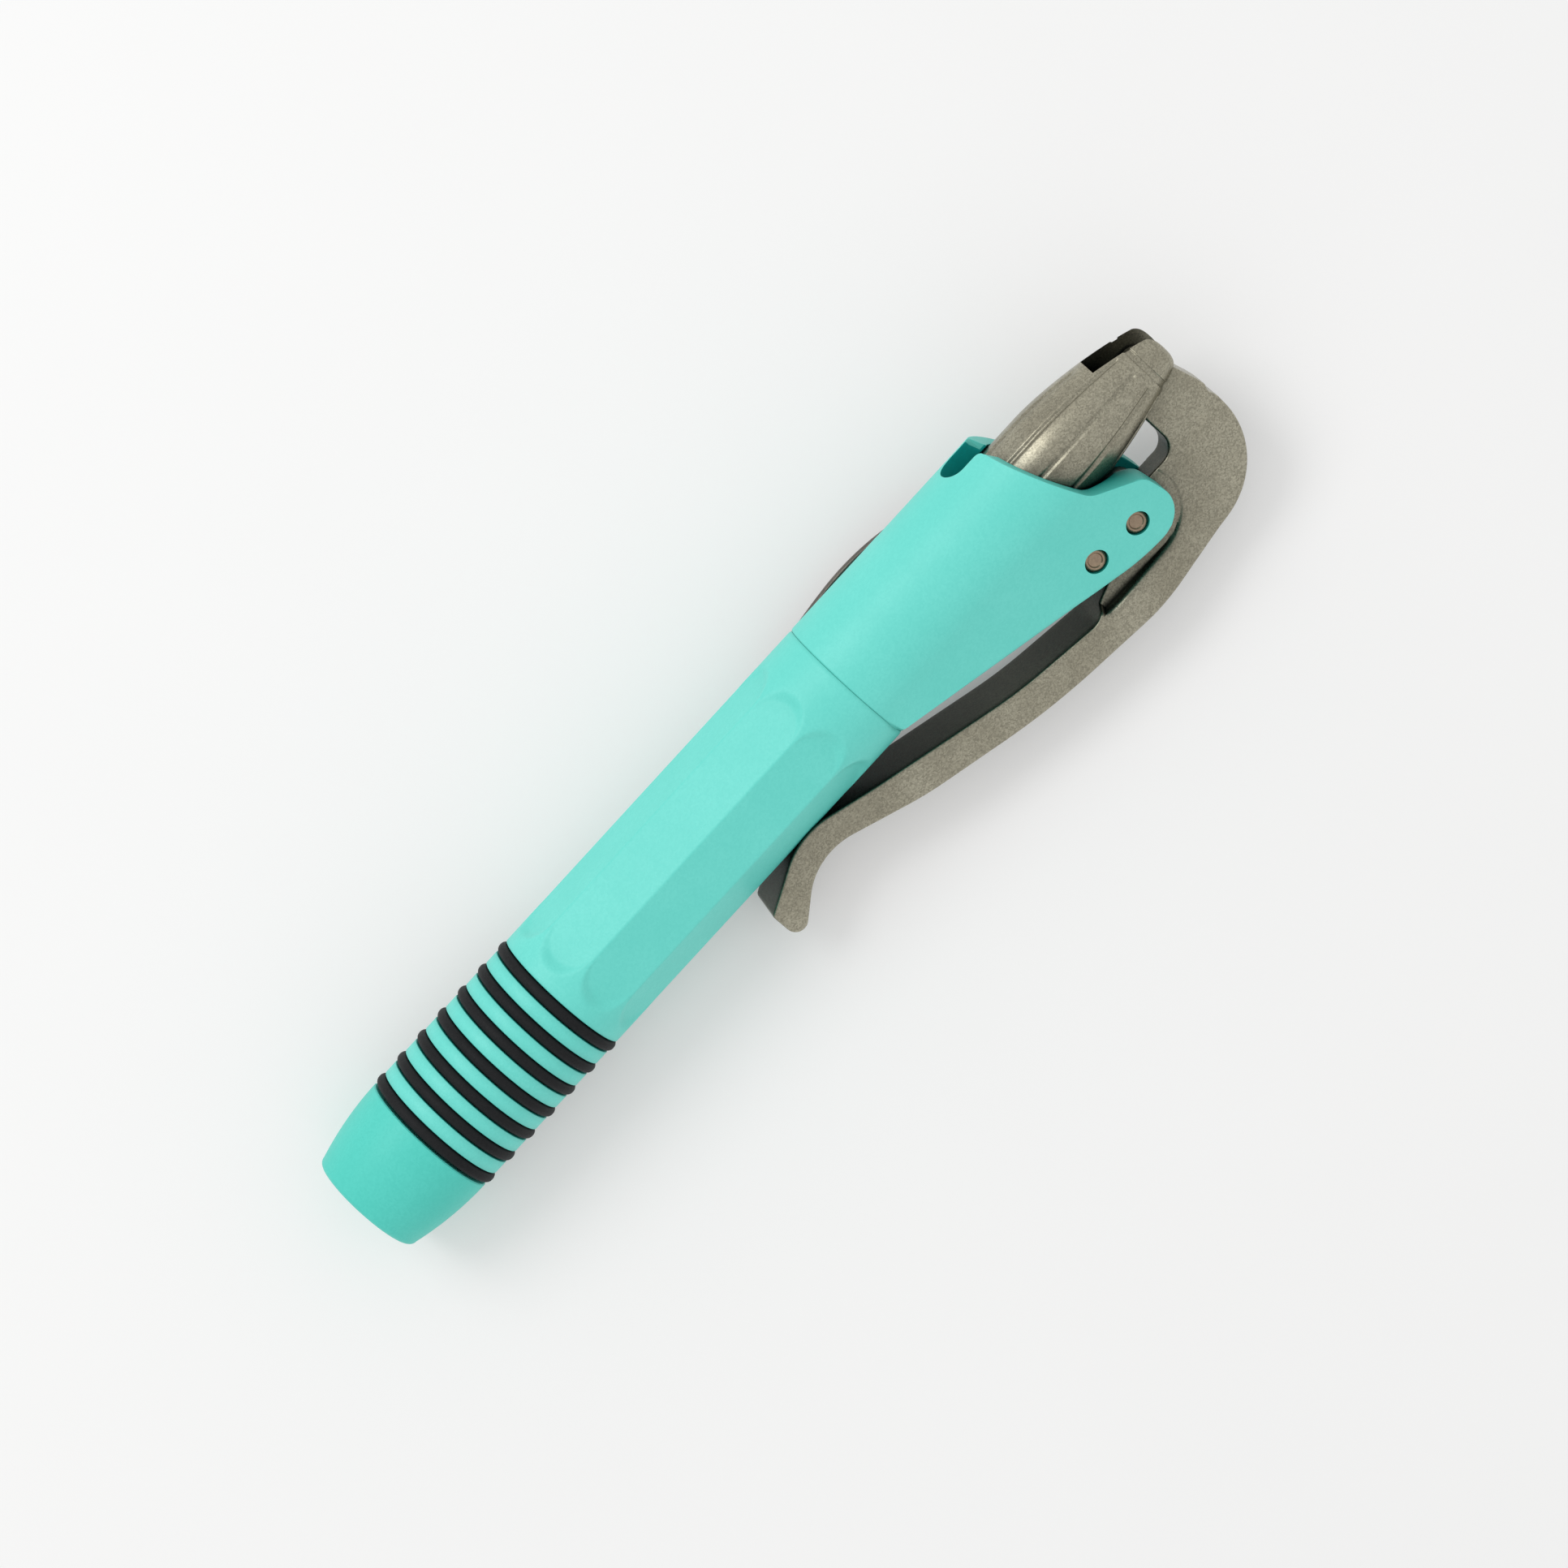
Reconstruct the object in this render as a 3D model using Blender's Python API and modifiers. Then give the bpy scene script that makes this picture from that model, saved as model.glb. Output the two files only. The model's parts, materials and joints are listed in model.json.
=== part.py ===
"""Spring lever grip trainer, built as separate solids in metres.

The trainer is modelled along its own axes: +X from the butt to the nose, -Z towards the
lever and -Y towards the near cheek, with the butt's face at X = 0. A rig empty then lays
it on the table, where it rests on a rubber ring, its lever and its carry clip.

The lever turns on the pivot pin. Its tongue stands in the nose's slot, so opening the
lever pushes the nose back into the head, against the main spring.
"""

import math

import bmesh
import bpy
import numpy as np
from mathutils import Matrix, Vector

# Clearances
GAP = 0.0003             # between pieces that touch
MERGE = 0.00001          # welding distance of modifiers
SIDE_CLEARANCE = 0.00035  # lever plate to slot wall, each side
PAST = 0.004             # how far a cutter reaches past the material
WIDE = 0.018             # half width of cutters that are wider than the handle

# Handle: end cap, tube and rings
TUBE_RADIUS = 0.012
TUBE_BORE = 0.0085
CAP_LENGTH = 0.0146
CAP_FACE_RADIUS = 0.0098
CAP_RIM_ROUND = 0.0005
CAP_STEM_LENGTH = 0.0074
CAP_STEM_BORE = 0.0045
TUBE_LENGTH = 0.0991
SPIGOT_RADIUS = 0.0097
SPIGOT_LENGTH = 0.0137
JOINT_CHAMFER = 0.0004
RING_COUNT = 7
RING_FIRST = 0.0165
RING_PITCH = 0.00483
RING_SECTION = 0.001
RING_PROUD = 0.00035
FLAT_COUNT = 8
FLAT_START = 0.0492
FLAT_LENGTH = 0.0585
FLAT_SUNK = 0.0002       # so that the flats meet below the round
FLAT_MARGIN = 0.0001     # of the flats' cutters, on each side

# Head, ears and slot
HEAD_BORE = 0.0089
BORE_STEP = 0.0277       # from the head's rear face to where the bore widens
CHEEK_ANGLE = math.radians(15)
NECK_SUNK = 0.00002      # the neck lies this far inside the head's round back
CHAMFER_SLOPE = 0.6      # cone that eases the cheeks into the tube
KEEL_START = 0.0086
SLOT_START = 0.0344      # from the head's rear face to the slot's round end
PIVOT_FROM_HEAD = 0.0499
PIVOT_DROP = 0.015
STOP_PIN_BACK = 0.0089
STOP_PIN_RISE = 0.0008
PIN_RADIUS = 0.002
PIN_CHAMFER = 0.0004
PIN_SUNK = 0.0003

# Nose, push rod and spring
NOSE_REAR = 0.0372       # from the head's rear face
NOSE_LENGTH = 0.0359
NOSE_STRAIGHT = 0.012
NOSE_TAPER = 0.0042
NOSE_TAPER_POWER = 1.6
NOSE_END_ROUND = 0.0015
BAND_BACK = 0.0037       # band groove, back from the nose's end
BAND_WIDTH = 0.0014
BAND_DEPTH = 0.0004
FLUTE_COUNT = 10
FLUTE_RADIUS = 0.00075
FLUTE_DEPTH = 0.0004
FLUTE_START = 0.0045
FLUTE_END = 0.0288
TONGUE_GAP = 0.0003
ROD_RADIUS = 0.003
ROD_FLANGE_RADIUS = 0.0052
ROD_FLANGE = 0.0027
ROD_IN_NOSE = 0.0085
COLLAR_RADIUS = 0.0082
COLLAR_LENGTH = 0.006
COLLAR_FRONT = 0.0037    # from the head's rear face
NUT_RADIUS = 0.005
NUT_THICKNESS = 0.0033
SPRING_TURNS = 13
SPRING_WIRE = 0.0008
SPRING_RADIUS = 0.0069
SPRING_STEPS = 9
SEAT_RADIUS = 0.0079
SEAT_THICKNESS = 0.0017
SEAT_BOSS_RADIUS = 0.0056
SEAT_BOSS_LENGTH = 0.004
SEAT_HOLE = 0.002

# Lever
LEVER_HALF_WIDTH = 0.0058
PLATE_HALF = 0.0029
WEB_HALF = 0.002
TIP_ROUND = 0.0035
TAPER_ROUND = 0.03
BUSH_RADIUS = 0.0032
WASHER_RADIUS = 0.0045
WASHER_HALF = 0.0003
WASHER_RECESS = 0.0054
EAR_SWEEP = 0.0086       # radius that the ears need round the pivot
EAR_ROOM_BACK = 0.018    # from the pivot back to where that room ends
TONGUE_BACK = 0.0129     # from the pivot forward to the tongue's rear edge

# Carry clip
CLIP_WIDTH = 0.0154
CLIP_LEAF = 0.0447       # distance from the peak at which the leaf shape would run out
CLIP_STEP = 0.004
CLIP_THICKNESS = 0.0012
CLIP_FLAT = 0.0112       # height of the seat above the axis
CLIP_SEAT_START = 0.0225  # from the head's rear face
CLIP_SEAT_LENGTH = 0.0117
CLIP_RUNOUT = 0.004      # of the seat's cut, where the clip rises out of it
CLIP_PEAK = 0.0148       # height of the outer face above the axis
CLIP_PEAK_AT = 0.014     # from the head's rear face
CLIP_REACH = 0.0045      # from the head's rear face back to the lip
CLIP_LIP = 0.004
CLIP_LIP_RISE = 0.0012
CLIP_BEND = 0.03
CLIP_SEAT_BEND = 0.003
CLIP_LIP_BEND = 0.004
CLIP_PASSES = 12         # passes that settle the bent clip on its peak and its lip
SCREW_SPACING = 0.005
SCREW_HEAD_RADIUS = 0.0022
SCREW_HEAD_TOP = 0.0018
SCREW_HEAD_HEIGHT = 0.001
SCREW_SHANK = 0.00125
SCREW_DEPTH = 0.0014
SCREW_SOCKET_RADIUS = 0.001
SCREW_SOCKET_DEPTH = 0.0006

ROUND_SEGMENTS = 48
HEAD_STEP = math.radians(7.5)
SMOOTH_ANGLE = math.radians(30)
START_ROLL = math.radians(-65)
START_PITCH = math.radians(-2)
LEVEL_PASSES = 30
STRAIGHT_ANGLE = math.radians(179.5)
ROUND_END = 0.98         # corner radius over half width, for ends that are nearly half round
SMALL_SEGMENTS = 24
RING_SIDES = 8

# Places along the handle that follow from the sizes above
TUBE_REAR = CAP_LENGTH + GAP
HEAD_REAR = TUBE_REAR + TUBE_LENGTH + GAP
PIVOT = Vector((HEAD_REAR + PIVOT_FROM_HEAD, 0.0, -PIVOT_DROP))
STOP_PIN = PIVOT + Vector((-STOP_PIN_BACK, 0.0, STOP_PIN_RISE))
NOSE_AT = HEAD_REAR + NOSE_REAR
NOSE_END = NOSE_AT + NOSE_LENGTH
NOSE_RADIUS = HEAD_BORE - GAP
SLOT_HALF = PLATE_HALF + SIDE_CLEARANCE
COLLAR_AT = HEAD_REAR + COLLAR_FRONT
SEAT_AT = CAP_LENGTH + CAP_STEM_LENGTH + GAP
RING_RADIUS = TUBE_RADIUS + RING_PROUD - RING_SECTION


def outline_head_front():
    """The head's front edge and ear, as (x, z, corner radius) from its rear face and the axis."""
    return [
        (0.0404, 0.014, 0.0), (0.0480, -0.0046, 0.004), (0.0560, -0.0100, 0.003),
        (0.0577, -0.0209, 0.0058), (0.0467, -0.0209, 0.006),
    ]


def outline_lever():
    """The lever seen from its near side, as (x, z, corner radius) from the pivot."""
    return [
        # Inner edge, from the tip over the bump that rests on the tube to the web
        (-0.08555, -0.0017, 0.0009), (-0.0732, 0.0051, 0.014), (-0.0589, -0.0003, 0.06),
        (-0.0329, -0.00685, 0.08), (-0.0164, -0.0085, 0.003),
        # Web, heel face and boss
        (-0.0058, -0.0042, 0.003), (-0.0058, 0.005, 0.001), (0.0052, 0.005, 0.0025),
        # Window between the boss and the tongue
        (0.0052, 0.0014, 0.001), (TONGUE_BACK, 0.0014, 0.0029),
        # Tongue
        (TONGUE_BACK, 0.0172, 0.0015), (0.0206, 0.0172, 0.0025), (0.0234, 0.007, 0.005),
        # Outer edge of the hook, with its shallow kink
        (0.02375, 0.0052, 0.0008), (0.0233, 0.004, 0.0006), (0.0239, 0.0022, 0.0004),
        (0.0238, -0.0121, 0.0154), (-0.0056, -0.0156, 0.04),
        # Outer edge of the hand bar, back to the tip
        (-0.0313, -0.01303, 0.12), (-0.0549, -0.0069, 0.06), (-0.0741, -0.0006, 0.0055),
        (-0.08555, -0.0094, 0.0022),
    ]


def outline_lever_plan():
    """The lever's half width seen along Z, as (x, y, corner radius) from the pivot."""
    return [
        (-0.08655, -LEVER_HALF_WIDTH, TIP_ROUND), (-0.0097, -LEVER_HALF_WIDTH, TAPER_ROUND),
        (0.0088, -PLATE_HALF, TAPER_ROUND), (0.026, -PLATE_HALF, 0.0),
    ]


def clear_scene():
    """Removes every object, so that the script can be run again."""
    for thing in list(bpy.data.objects):
        bpy.data.objects.remove(thing, do_unlink=True)


def make_collection(name):
    """Makes a collection in the scene."""
    collection = bpy.data.collections.new(name)
    bpy.context.scene.collection.children.link(collection)
    return collection


def make_material(name, colour, roughness, metallic):
    """Makes a plain Principled material."""
    material = bpy.data.materials.new(name)
    material.use_nodes = True
    shader = material.node_tree.nodes["Principled BSDF"]
    shader.inputs["Base Color"].default_value = (*colour, 1.0)
    shader.inputs["Roughness"].default_value = roughness
    shader.inputs["Metallic"].default_value = metallic
    material.diffuse_color = (*colour, 1.0)
    return material


def rounded(corners, steps=6):
    """Turns corners (x, y, radius) of a closed outline into points, with arcs at the radii."""
    points = []
    for i, (x, y, radius) in enumerate(corners):
        here = Vector((x, y))
        before = (Vector(corners[i - 1][:2]) - here).normalized()
        after = (Vector(corners[(i + 1) % len(corners)][:2]) - here).normalized()
        opening = before.angle(after)
        if radius == 0.0 or opening > STRAIGHT_ANGLE:
            points.append(here)
            continue
        reach = radius / math.tan(opening / 2)
        centre = here + (before + after).normalized() * (radius / math.sin(opening / 2))
        start = here + before * reach - centre
        turn = start.angle_signed(here + after * reach - centre)
        count = max(2, math.ceil(abs(turn) / math.radians(90 / steps)))
        for step in range(count + 1):
            angle = -turn * step / count
            spin = Matrix.Rotation(angle, 2)
            points.append(centre + spin @ start)
    return points


class Builder:
    """Makes the solids, and keeps the collections, the rig and the materials."""

    def __init__(self, name):
        self.parts = make_collection(name)
        self.cutters = make_collection(name + "_cutters")
        self.rig = bpy.data.objects.new("rig", None)
        self.parts.objects.link(self.rig)

    def add(self, name, mesh, material, parent=None, at=(0, 0, 0), turn=(0, 0, 0)):
        """Adds a mesh as a named solid, a cutter where it has no material."""
        solid = bpy.data.objects.new(name, mesh)
        solid.location = at
        solid.rotation_euler = turn
        solid.parent = parent or self.rig
        if material is None:
            self.cutters.objects.link(solid)
            solid.hide_render = True
            solid.display_type = "WIRE"
        else:
            self.parts.objects.link(solid)
            mesh.materials.append(material)
            mesh.shade_smooth()
            mesh.set_sharp_from_angle(angle=SMOOTH_ANGLE)
        return solid

    def turned(self, name, profile, material, turn=(0, math.pi / 2, 0), segments=ROUND_SEGMENTS, **place):
        """A turned solid. The profile is (along, radius), down its outer side and up its bore."""
        mesh = bpy.data.meshes.new(name)
        corners = [(radius, 0.0, along) for along, radius in profile]
        closed = profile[0][1] > 0.0
        edges = [(i, i + 1) for i in range(len(corners) - 1)]
        if closed:
            edges.append((len(corners) - 1, 0))
        mesh.from_pydata(corners, edges, [])
        solid = self.add(name, mesh, material, turn=turn, **place)
        screw = solid.modifiers.new("turn", "SCREW")
        screw.steps = segments
        screw.render_steps = segments
        screw.use_merge_vertices = True
        screw.merge_threshold = MERGE
        screw.use_smooth_shade = material is not None
        return solid

    def extruded(self, name, points, half, material, turn=(math.pi / 2, 0, 0), **place):
        """A flat outline with a thickness of twice half, made a mesh and welded."""
        curve = bpy.data.curves.new(name + "_outline", "CURVE")
        curve.dimensions = "2D"
        curve.fill_mode = "BOTH"
        curve.extrude = half
        spline = curve.splines.new("POLY")
        spline.points.add(len(points) - 1)
        for slot, (x, y) in zip(spline.points, points):
            slot.co = (x, y, 0.0, 1.0)
        spline.use_cyclic_u = True
        return self.from_curve(name, curve, material, turn=turn, **place)

    def from_curve(self, name, curve, material, **place):
        """Makes a mesh of a curve, with its caps welded on, and removes the curve."""
        guide = bpy.data.objects.new(name + "_guide", curve)
        self.cutters.objects.link(guide)
        bpy.context.view_layer.update()
        seen = guide.evaluated_get(bpy.context.evaluated_depsgraph_get())
        mesh = bpy.data.meshes.new_from_object(seen)
        bpy.data.objects.remove(guide, do_unlink=True)
        shape = bmesh.new()
        shape.from_mesh(mesh)
        bmesh.ops.remove_doubles(shape, verts=shape.verts, dist=MERGE)
        bmesh.ops.recalc_face_normals(shape, faces=shape.faces)
        shape.to_mesh(mesh)
        shape.free()
        mesh.materials.clear()
        return self.add(name, mesh, material, **place)

    def box(self, name, low, high):
        """A box cutter between two corners."""
        shape = bmesh.new()
        bmesh.ops.create_cube(shape, size=1.0)
        size = Vector(high) - Vector(low)
        middle = (Vector(high) + Vector(low)) / 2
        bmesh.ops.transform(shape, matrix=Matrix.LocRotScale(middle, None, size), verts=shape.verts)
        mesh = bpy.data.meshes.new(name)
        shape.to_mesh(mesh)
        shape.free()
        return self.add(name, mesh, None)

    def pin_cutter(self, name, at, radius, low, high):
        """A round cutter across the trainer, from low to high along Y."""
        return self.turned(name, [(high, 0.0), (high, radius), (low, radius), (low, 0.0)], None,
                           turn=(-math.pi / 2, 0, 0), at=(at[0], 0.0, at[2]),
                           segments=SMALL_SEGMENTS)


def boolean(solid, operation, cutter):
    """Adds a Boolean modifier to a solid."""
    step = solid.modifiers.new(cutter.name, "BOOLEAN")
    step.operation = operation
    step.solver = "EXACT"
    step.object = cutter


def cut(solid, cutter):
    """Takes a cutter out of a solid."""
    boolean(solid, "DIFFERENCE", cutter)


def tube_flat():
    """Height of the milled flats above the axis, where they meet along their edges."""
    return TUBE_RADIUS * math.cos(math.pi / FLAT_COUNT) - FLAT_SUNK


def make_end_cap(build, coating):
    """End cap: flat face, domed flank and a hollow stem that screws into the tube."""
    stem = TUBE_BORE - GAP
    flank = []
    steps = 5
    for i in range(steps + 1):
        along = CAP_LENGTH * (1 - i / steps)
        fall = (TUBE_RADIUS - CAP_FACE_RADIUS) * (1 - along / CAP_LENGTH) ** 2
        flank.append((max(along, CAP_RIM_ROUND), TUBE_RADIUS - fall))
    profile = [(CAP_LENGTH / 2, 0.0), (CAP_LENGTH / 2, CAP_STEM_BORE),
               (CAP_LENGTH + CAP_STEM_LENGTH, CAP_STEM_BORE), (CAP_LENGTH + CAP_STEM_LENGTH, stem),
               (CAP_LENGTH, stem)]
    profile += flank + [(0.0, CAP_FACE_RADIUS - CAP_RIM_ROUND), (0.0, 0.0)]
    return build.turned("end_cap", profile, coating)


def make_handle_tube(build, coating):
    """Tube with a spigot bore in front, ring grooves behind and milled flats between."""
    front = TUBE_REAR + TUBE_LENGTH
    socket = SPIGOT_RADIUS + GAP
    socket_end = front - SPIGOT_LENGTH - GAP
    groove_half = RING_SECTION + GAP
    floor = RING_RADIUS - RING_SECTION - GAP
    profile = [(front, socket), (front, TUBE_RADIUS - JOINT_CHAMFER),
               (front - JOINT_CHAMFER, TUBE_RADIUS)]
    for i in reversed(range(RING_COUNT)):
        centre = RING_FIRST + i * RING_PITCH
        profile += [(centre + groove_half, TUBE_RADIUS), (centre + groove_half, floor),
                    (centre - groove_half, floor), (centre - groove_half, TUBE_RADIUS)]
    profile += [(TUBE_REAR, TUBE_RADIUS), (TUBE_REAR, TUBE_BORE),
                (socket_end, TUBE_BORE), (socket_end, socket)]
    tube = build.turned("handle_tube", profile, coating)

    depth = tube_flat()
    half_width = math.sqrt(TUBE_RADIUS ** 2 - depth ** 2) + FLAT_MARGIN
    middle = FLAT_START + FLAT_LENGTH / 2
    reach = FLAT_LENGTH / 2
    corner = half_width * ROUND_END
    plan = rounded([(-reach, -half_width, corner), (reach, -half_width, corner),
                    (reach, half_width, corner), (-reach, half_width, corner)], 3)
    for i in range(FLAT_COUNT):
        angle = 2 * math.pi * i / FLAT_COUNT
        out = depth + PAST
        cutter = build.extruded("flat_cutter_%d" % i, plan, PAST, None, turn=(angle, 0, 0),
                                at=(middle, -out * math.sin(angle), out * math.cos(angle)))
        cut(tube, cutter)
    return tube


def make_rings(build, rubber):
    """The rubber rings, one in each groove."""
    rings = []
    for i in range(RING_COUNT):
        profile = []
        for k in range(RING_SIDES):
            angle = 2 * math.pi * (k + 0.5) / RING_SIDES
            profile.append((RING_SECTION * math.sin(angle), RING_RADIUS + RING_SECTION * math.cos(angle)))
        profile.reverse()
        rings.append(build.turned("o_ring_%d" % (i + 1), profile, rubber, segments=SMALL_SEGMENTS,
                                  at=(RING_FIRST + i * RING_PITCH, 0, 0)))
    return rings


def head_section(bottom):
    """The head seen along X: a round back whose cheeks run straight on to the bottom."""
    steps = round((math.pi + 2 * CHEEK_ANGLE) / HEAD_STEP)
    points = []
    for i in range(steps + 1):
        angle = -CHEEK_ANGLE + (math.pi + 2 * CHEEK_ANGLE) * i / steps
        points.append((TUBE_RADIUS * math.cos(angle), TUBE_RADIUS * math.sin(angle)))
    side, level = points[0]
    bottom_half = side - (level - bottom) * math.tan(CHEEK_ANGLE)
    return points + [(-bottom_half, bottom), (bottom_half, bottom)]


def make_head(build, coating):
    """Head: a round body with planar cheeks that converge on two ears, slotted and bored."""
    front = [(HEAD_REAR + x, z, radius) for x, z, radius in outline_head_front()]
    nose_side = front[3][0] + PAST
    bottom = front[3][1] - PAST
    head = build.extruded("head", head_section(bottom), (nose_side - HEAD_REAR) / 2, coating,
                          turn=(math.pi / 2, 0, math.pi / 2), at=((nose_side + HEAD_REAR) / 2, 0, 0))

    # Below the keel the cheeks end, and a cone eases them into the tube
    slope = (KEEL_START + front[4][1]) / (front[4][0] - HEAD_REAR)
    start = HEAD_REAR - PAST
    end = nose_side + PAST
    keel = [(start, -KEEL_START + slope * (start - HEAD_REAR)),
            (end, -KEEL_START + slope * (end - HEAD_REAR)), (end, 2 * bottom), (start, 2 * bottom)]
    cut(head, build.extruded("keel", keel, WIDE, None))
    far = 2 * WIDE
    rim = TUBE_RADIUS - JOINT_CHAMFER
    boolean(head, "INTERSECT", build.turned("cone", [
        (end, 0.0), (end, far), (HEAD_REAR + (far - rim) / CHAMFER_SLOPE, far),
        (start, rim - PAST * CHAMFER_SLOPE), (start, 0.0)], None))

    # Side outline: the slanted front edge and the ears
    side = [(start, front[0][1], 0.0)] + front[:4] + [(start, front[4][1], 0.0)]
    boolean(head, "INTERSECT", build.extruded("side", rounded(side), WIDE, None))

    # The round neck and the spigot that screws into the tube
    neck = TUBE_RADIUS - NECK_SUNK
    neck_front = HEAD_REAR + (-TUBE_RADIUS + KEEL_START) / slope + PAST
    boolean(head, "UNION", build.turned("neck", [
        (neck_front, 0.0), (neck_front, neck), (HEAD_REAR + JOINT_CHAMFER, neck),
        (HEAD_REAR, rim - NECK_SUNK), (HEAD_REAR, SPIGOT_RADIUS),
        (HEAD_REAR - SPIGOT_LENGTH, SPIGOT_RADIUS), (HEAD_REAR - SPIGOT_LENGTH, 0.0)], None))

    # Bores, slot and pin holes
    step = HEAD_REAR + BORE_STEP
    bore_rear = HEAD_REAR - SPIGOT_LENGTH - PAST
    cut(head, build.turned("bore", [(NOSE_END, 0.0), (NOSE_END, HEAD_BORE), (step, HEAD_BORE),
                                    (step, TUBE_BORE), (bore_rear, TUBE_BORE), (bore_rear, 0.0)], None))
    slot_rear = HEAD_REAR + SLOT_START
    slot_front = NOSE_END
    corner = SLOT_HALF * ROUND_END
    slot = rounded([(slot_rear, -SLOT_HALF, corner), (slot_front, -SLOT_HALF, 0.0),
                    (slot_front, SLOT_HALF, 0.0), (slot_rear, SLOT_HALF, corner)])
    tall = (TUBE_RADIUS - bottom) / 2 + PAST
    cut(head, build.extruded("slot", slot, tall, None, turn=(0, 0, 0),
                             at=(0, 0, (TUBE_RADIUS + bottom) / 2)))
    for name, pin in (("pivot_hole", PIVOT), ("stop_hole", STOP_PIN)):
        cut(head, build.pin_cutter(name, pin, PIN_RADIUS + GAP, -TUBE_RADIUS, TUBE_RADIUS))

    # Seat and screw holes of the carry clip
    seat = HEAD_REAR + CLIP_SEAT_START
    cut(head, build.box("clip_seat", (seat - CLIP_RUNOUT, CLIP_FLAT, -TUBE_RADIUS),
                        (seat + CLIP_SEAT_LENGTH, TUBE_RADIUS + PAST, TUBE_RADIUS)))
    for i, at in enumerate(screw_places()):
        cut(head, build.pin_cutter("screw_hole_%d" % i, at, SCREW_SHANK + GAP,
                                   CLIP_FLAT - SCREW_DEPTH - GAP, TUBE_RADIUS + PAST))
    return head


def screw_places():
    """Where the clip's two screws stand on its seat."""
    middle = HEAD_REAR + CLIP_SEAT_START + CLIP_SEAT_LENGTH / 2
    return [(middle + side * SCREW_SPACING / 2, 0.0, 0.0) for side in (-1, 1)]


def nose_radius(along):
    """The nose's radius at a distance along the handle."""
    past = max(0.0, along - NOSE_AT - NOSE_STRAIGHT)
    length = NOSE_LENGTH - NOSE_STRAIGHT
    return NOSE_RADIUS - NOSE_TAPER * (past / length) ** NOSE_TAPER_POWER


def make_nose(build, metal):
    """Nose: a fluted bullet with a band groove and a slot for the lever's tongue."""
    rear_hole = ROD_RADIUS + GAP
    hole_end = NOSE_AT + ROD_IN_NOSE + GAP
    end_radius = nose_radius(NOSE_END) - NOSE_END_ROUND
    profile = [(NOSE_END, 0.0), (NOSE_END, end_radius)]
    steps = 3
    for i in range(1, steps + 1):
        angle = math.pi / 2 * i / steps
        profile.append((NOSE_END - NOSE_END_ROUND * (1 - math.cos(angle)),
                        end_radius + NOSE_END_ROUND * math.sin(angle)))
    band_front = NOSE_END - BAND_BACK
    band_rear = band_front - BAND_WIDTH
    floor = nose_radius(band_rear) - BAND_DEPTH
    profile += [(band_front, nose_radius(band_front)), (band_front - BAND_DEPTH, floor - BAND_DEPTH / 2),
                (band_rear + BAND_DEPTH, floor), (band_rear, nose_radius(band_rear))]
    start = NOSE_AT + NOSE_STRAIGHT
    steps = 7
    profile += [(along, nose_radius(along)) for along in
                (band_rear + (start - band_rear) * i / steps for i in range(1, steps + 1))]
    profile += [(NOSE_AT, NOSE_RADIUS), (NOSE_AT, rear_hole), (hole_end, rear_hole), (hole_end, 0.0)]
    nose = build.turned("nose", profile, metal)

    tongue = PIVOT.x + TONGUE_BACK
    cut(nose, build.box("nose_slot", (tongue - TONGUE_GAP, -SLOT_HALF, -NOSE_RADIUS - PAST),
                        (NOSE_END + PAST, SLOT_HALF, NOSE_RADIUS + PAST)))
    steps = 6
    for i in range(FLUTE_COUNT):
        curve = bpy.data.curves.new("flute", "CURVE")
        curve.dimensions = "3D"
        curve.bevel_depth = FLUTE_RADIUS
        curve.bevel_resolution = 1
        curve.use_fill_caps = True
        spline = curve.splines.new("POLY")
        spline.points.add(steps)
        for k, point in enumerate(spline.points):
            along = NOSE_AT + FLUTE_START + (FLUTE_END - FLUTE_START) * k / steps
            out = nose_radius(along) + FLUTE_RADIUS - FLUTE_DEPTH
            point.co = (along, 0.0, out, 1.0)
        angle = 2 * math.pi * i / FLUTE_COUNT
        cut(nose, build.from_curve("flute_cutter_%d" % i, curve, None, turn=(angle, 0, 0)))
    return nose


def make_push_rod(build, metal):
    """Push rod: a stepped rod that carries the spring's force to the nose."""
    flange_rear = COLLAR_AT + GAP
    flange_front = flange_rear + ROD_FLANGE
    rear = COLLAR_AT - COLLAR_LENGTH - NUT_THICKNESS - 2 * GAP
    front = NOSE_AT + ROD_IN_NOSE
    build.turned("push_rod", [
        (front, 0.0), (front, ROD_RADIUS), (flange_front, ROD_RADIUS),
        (flange_front, ROD_FLANGE_RADIUS), (flange_rear, ROD_FLANGE_RADIUS),
        (flange_rear, ROD_RADIUS), (rear, ROD_RADIUS), (rear, 0.0)], metal, segments=SMALL_SEGMENTS)
    hole = ROD_RADIUS + GAP
    rear_face = COLLAR_AT - COLLAR_LENGTH
    build.turned("rod_collar", [(COLLAR_AT, hole), (COLLAR_AT, COLLAR_RADIUS),
                                (rear_face, COLLAR_RADIUS), (rear_face, hole)], metal,
                 segments=SMALL_SEGMENTS)
    nut_front = rear_face - GAP
    nut_rear = nut_front - NUT_THICKNESS
    nut = build.turned("collar_nut", [(nut_front, 0.0), (nut_front, NUT_RADIUS), (nut_rear, NUT_RADIUS),
                                      (nut_rear, 0.0)], metal, segments=6)
    cut(nut, build.turned("nut_hole", [(nut_front + GAP, 0.0), (nut_front + GAP, hole),
                                       (nut_rear - GAP, hole), (nut_rear - GAP, 0.0)], None,
                          segments=SMALL_SEGMENTS))


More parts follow.
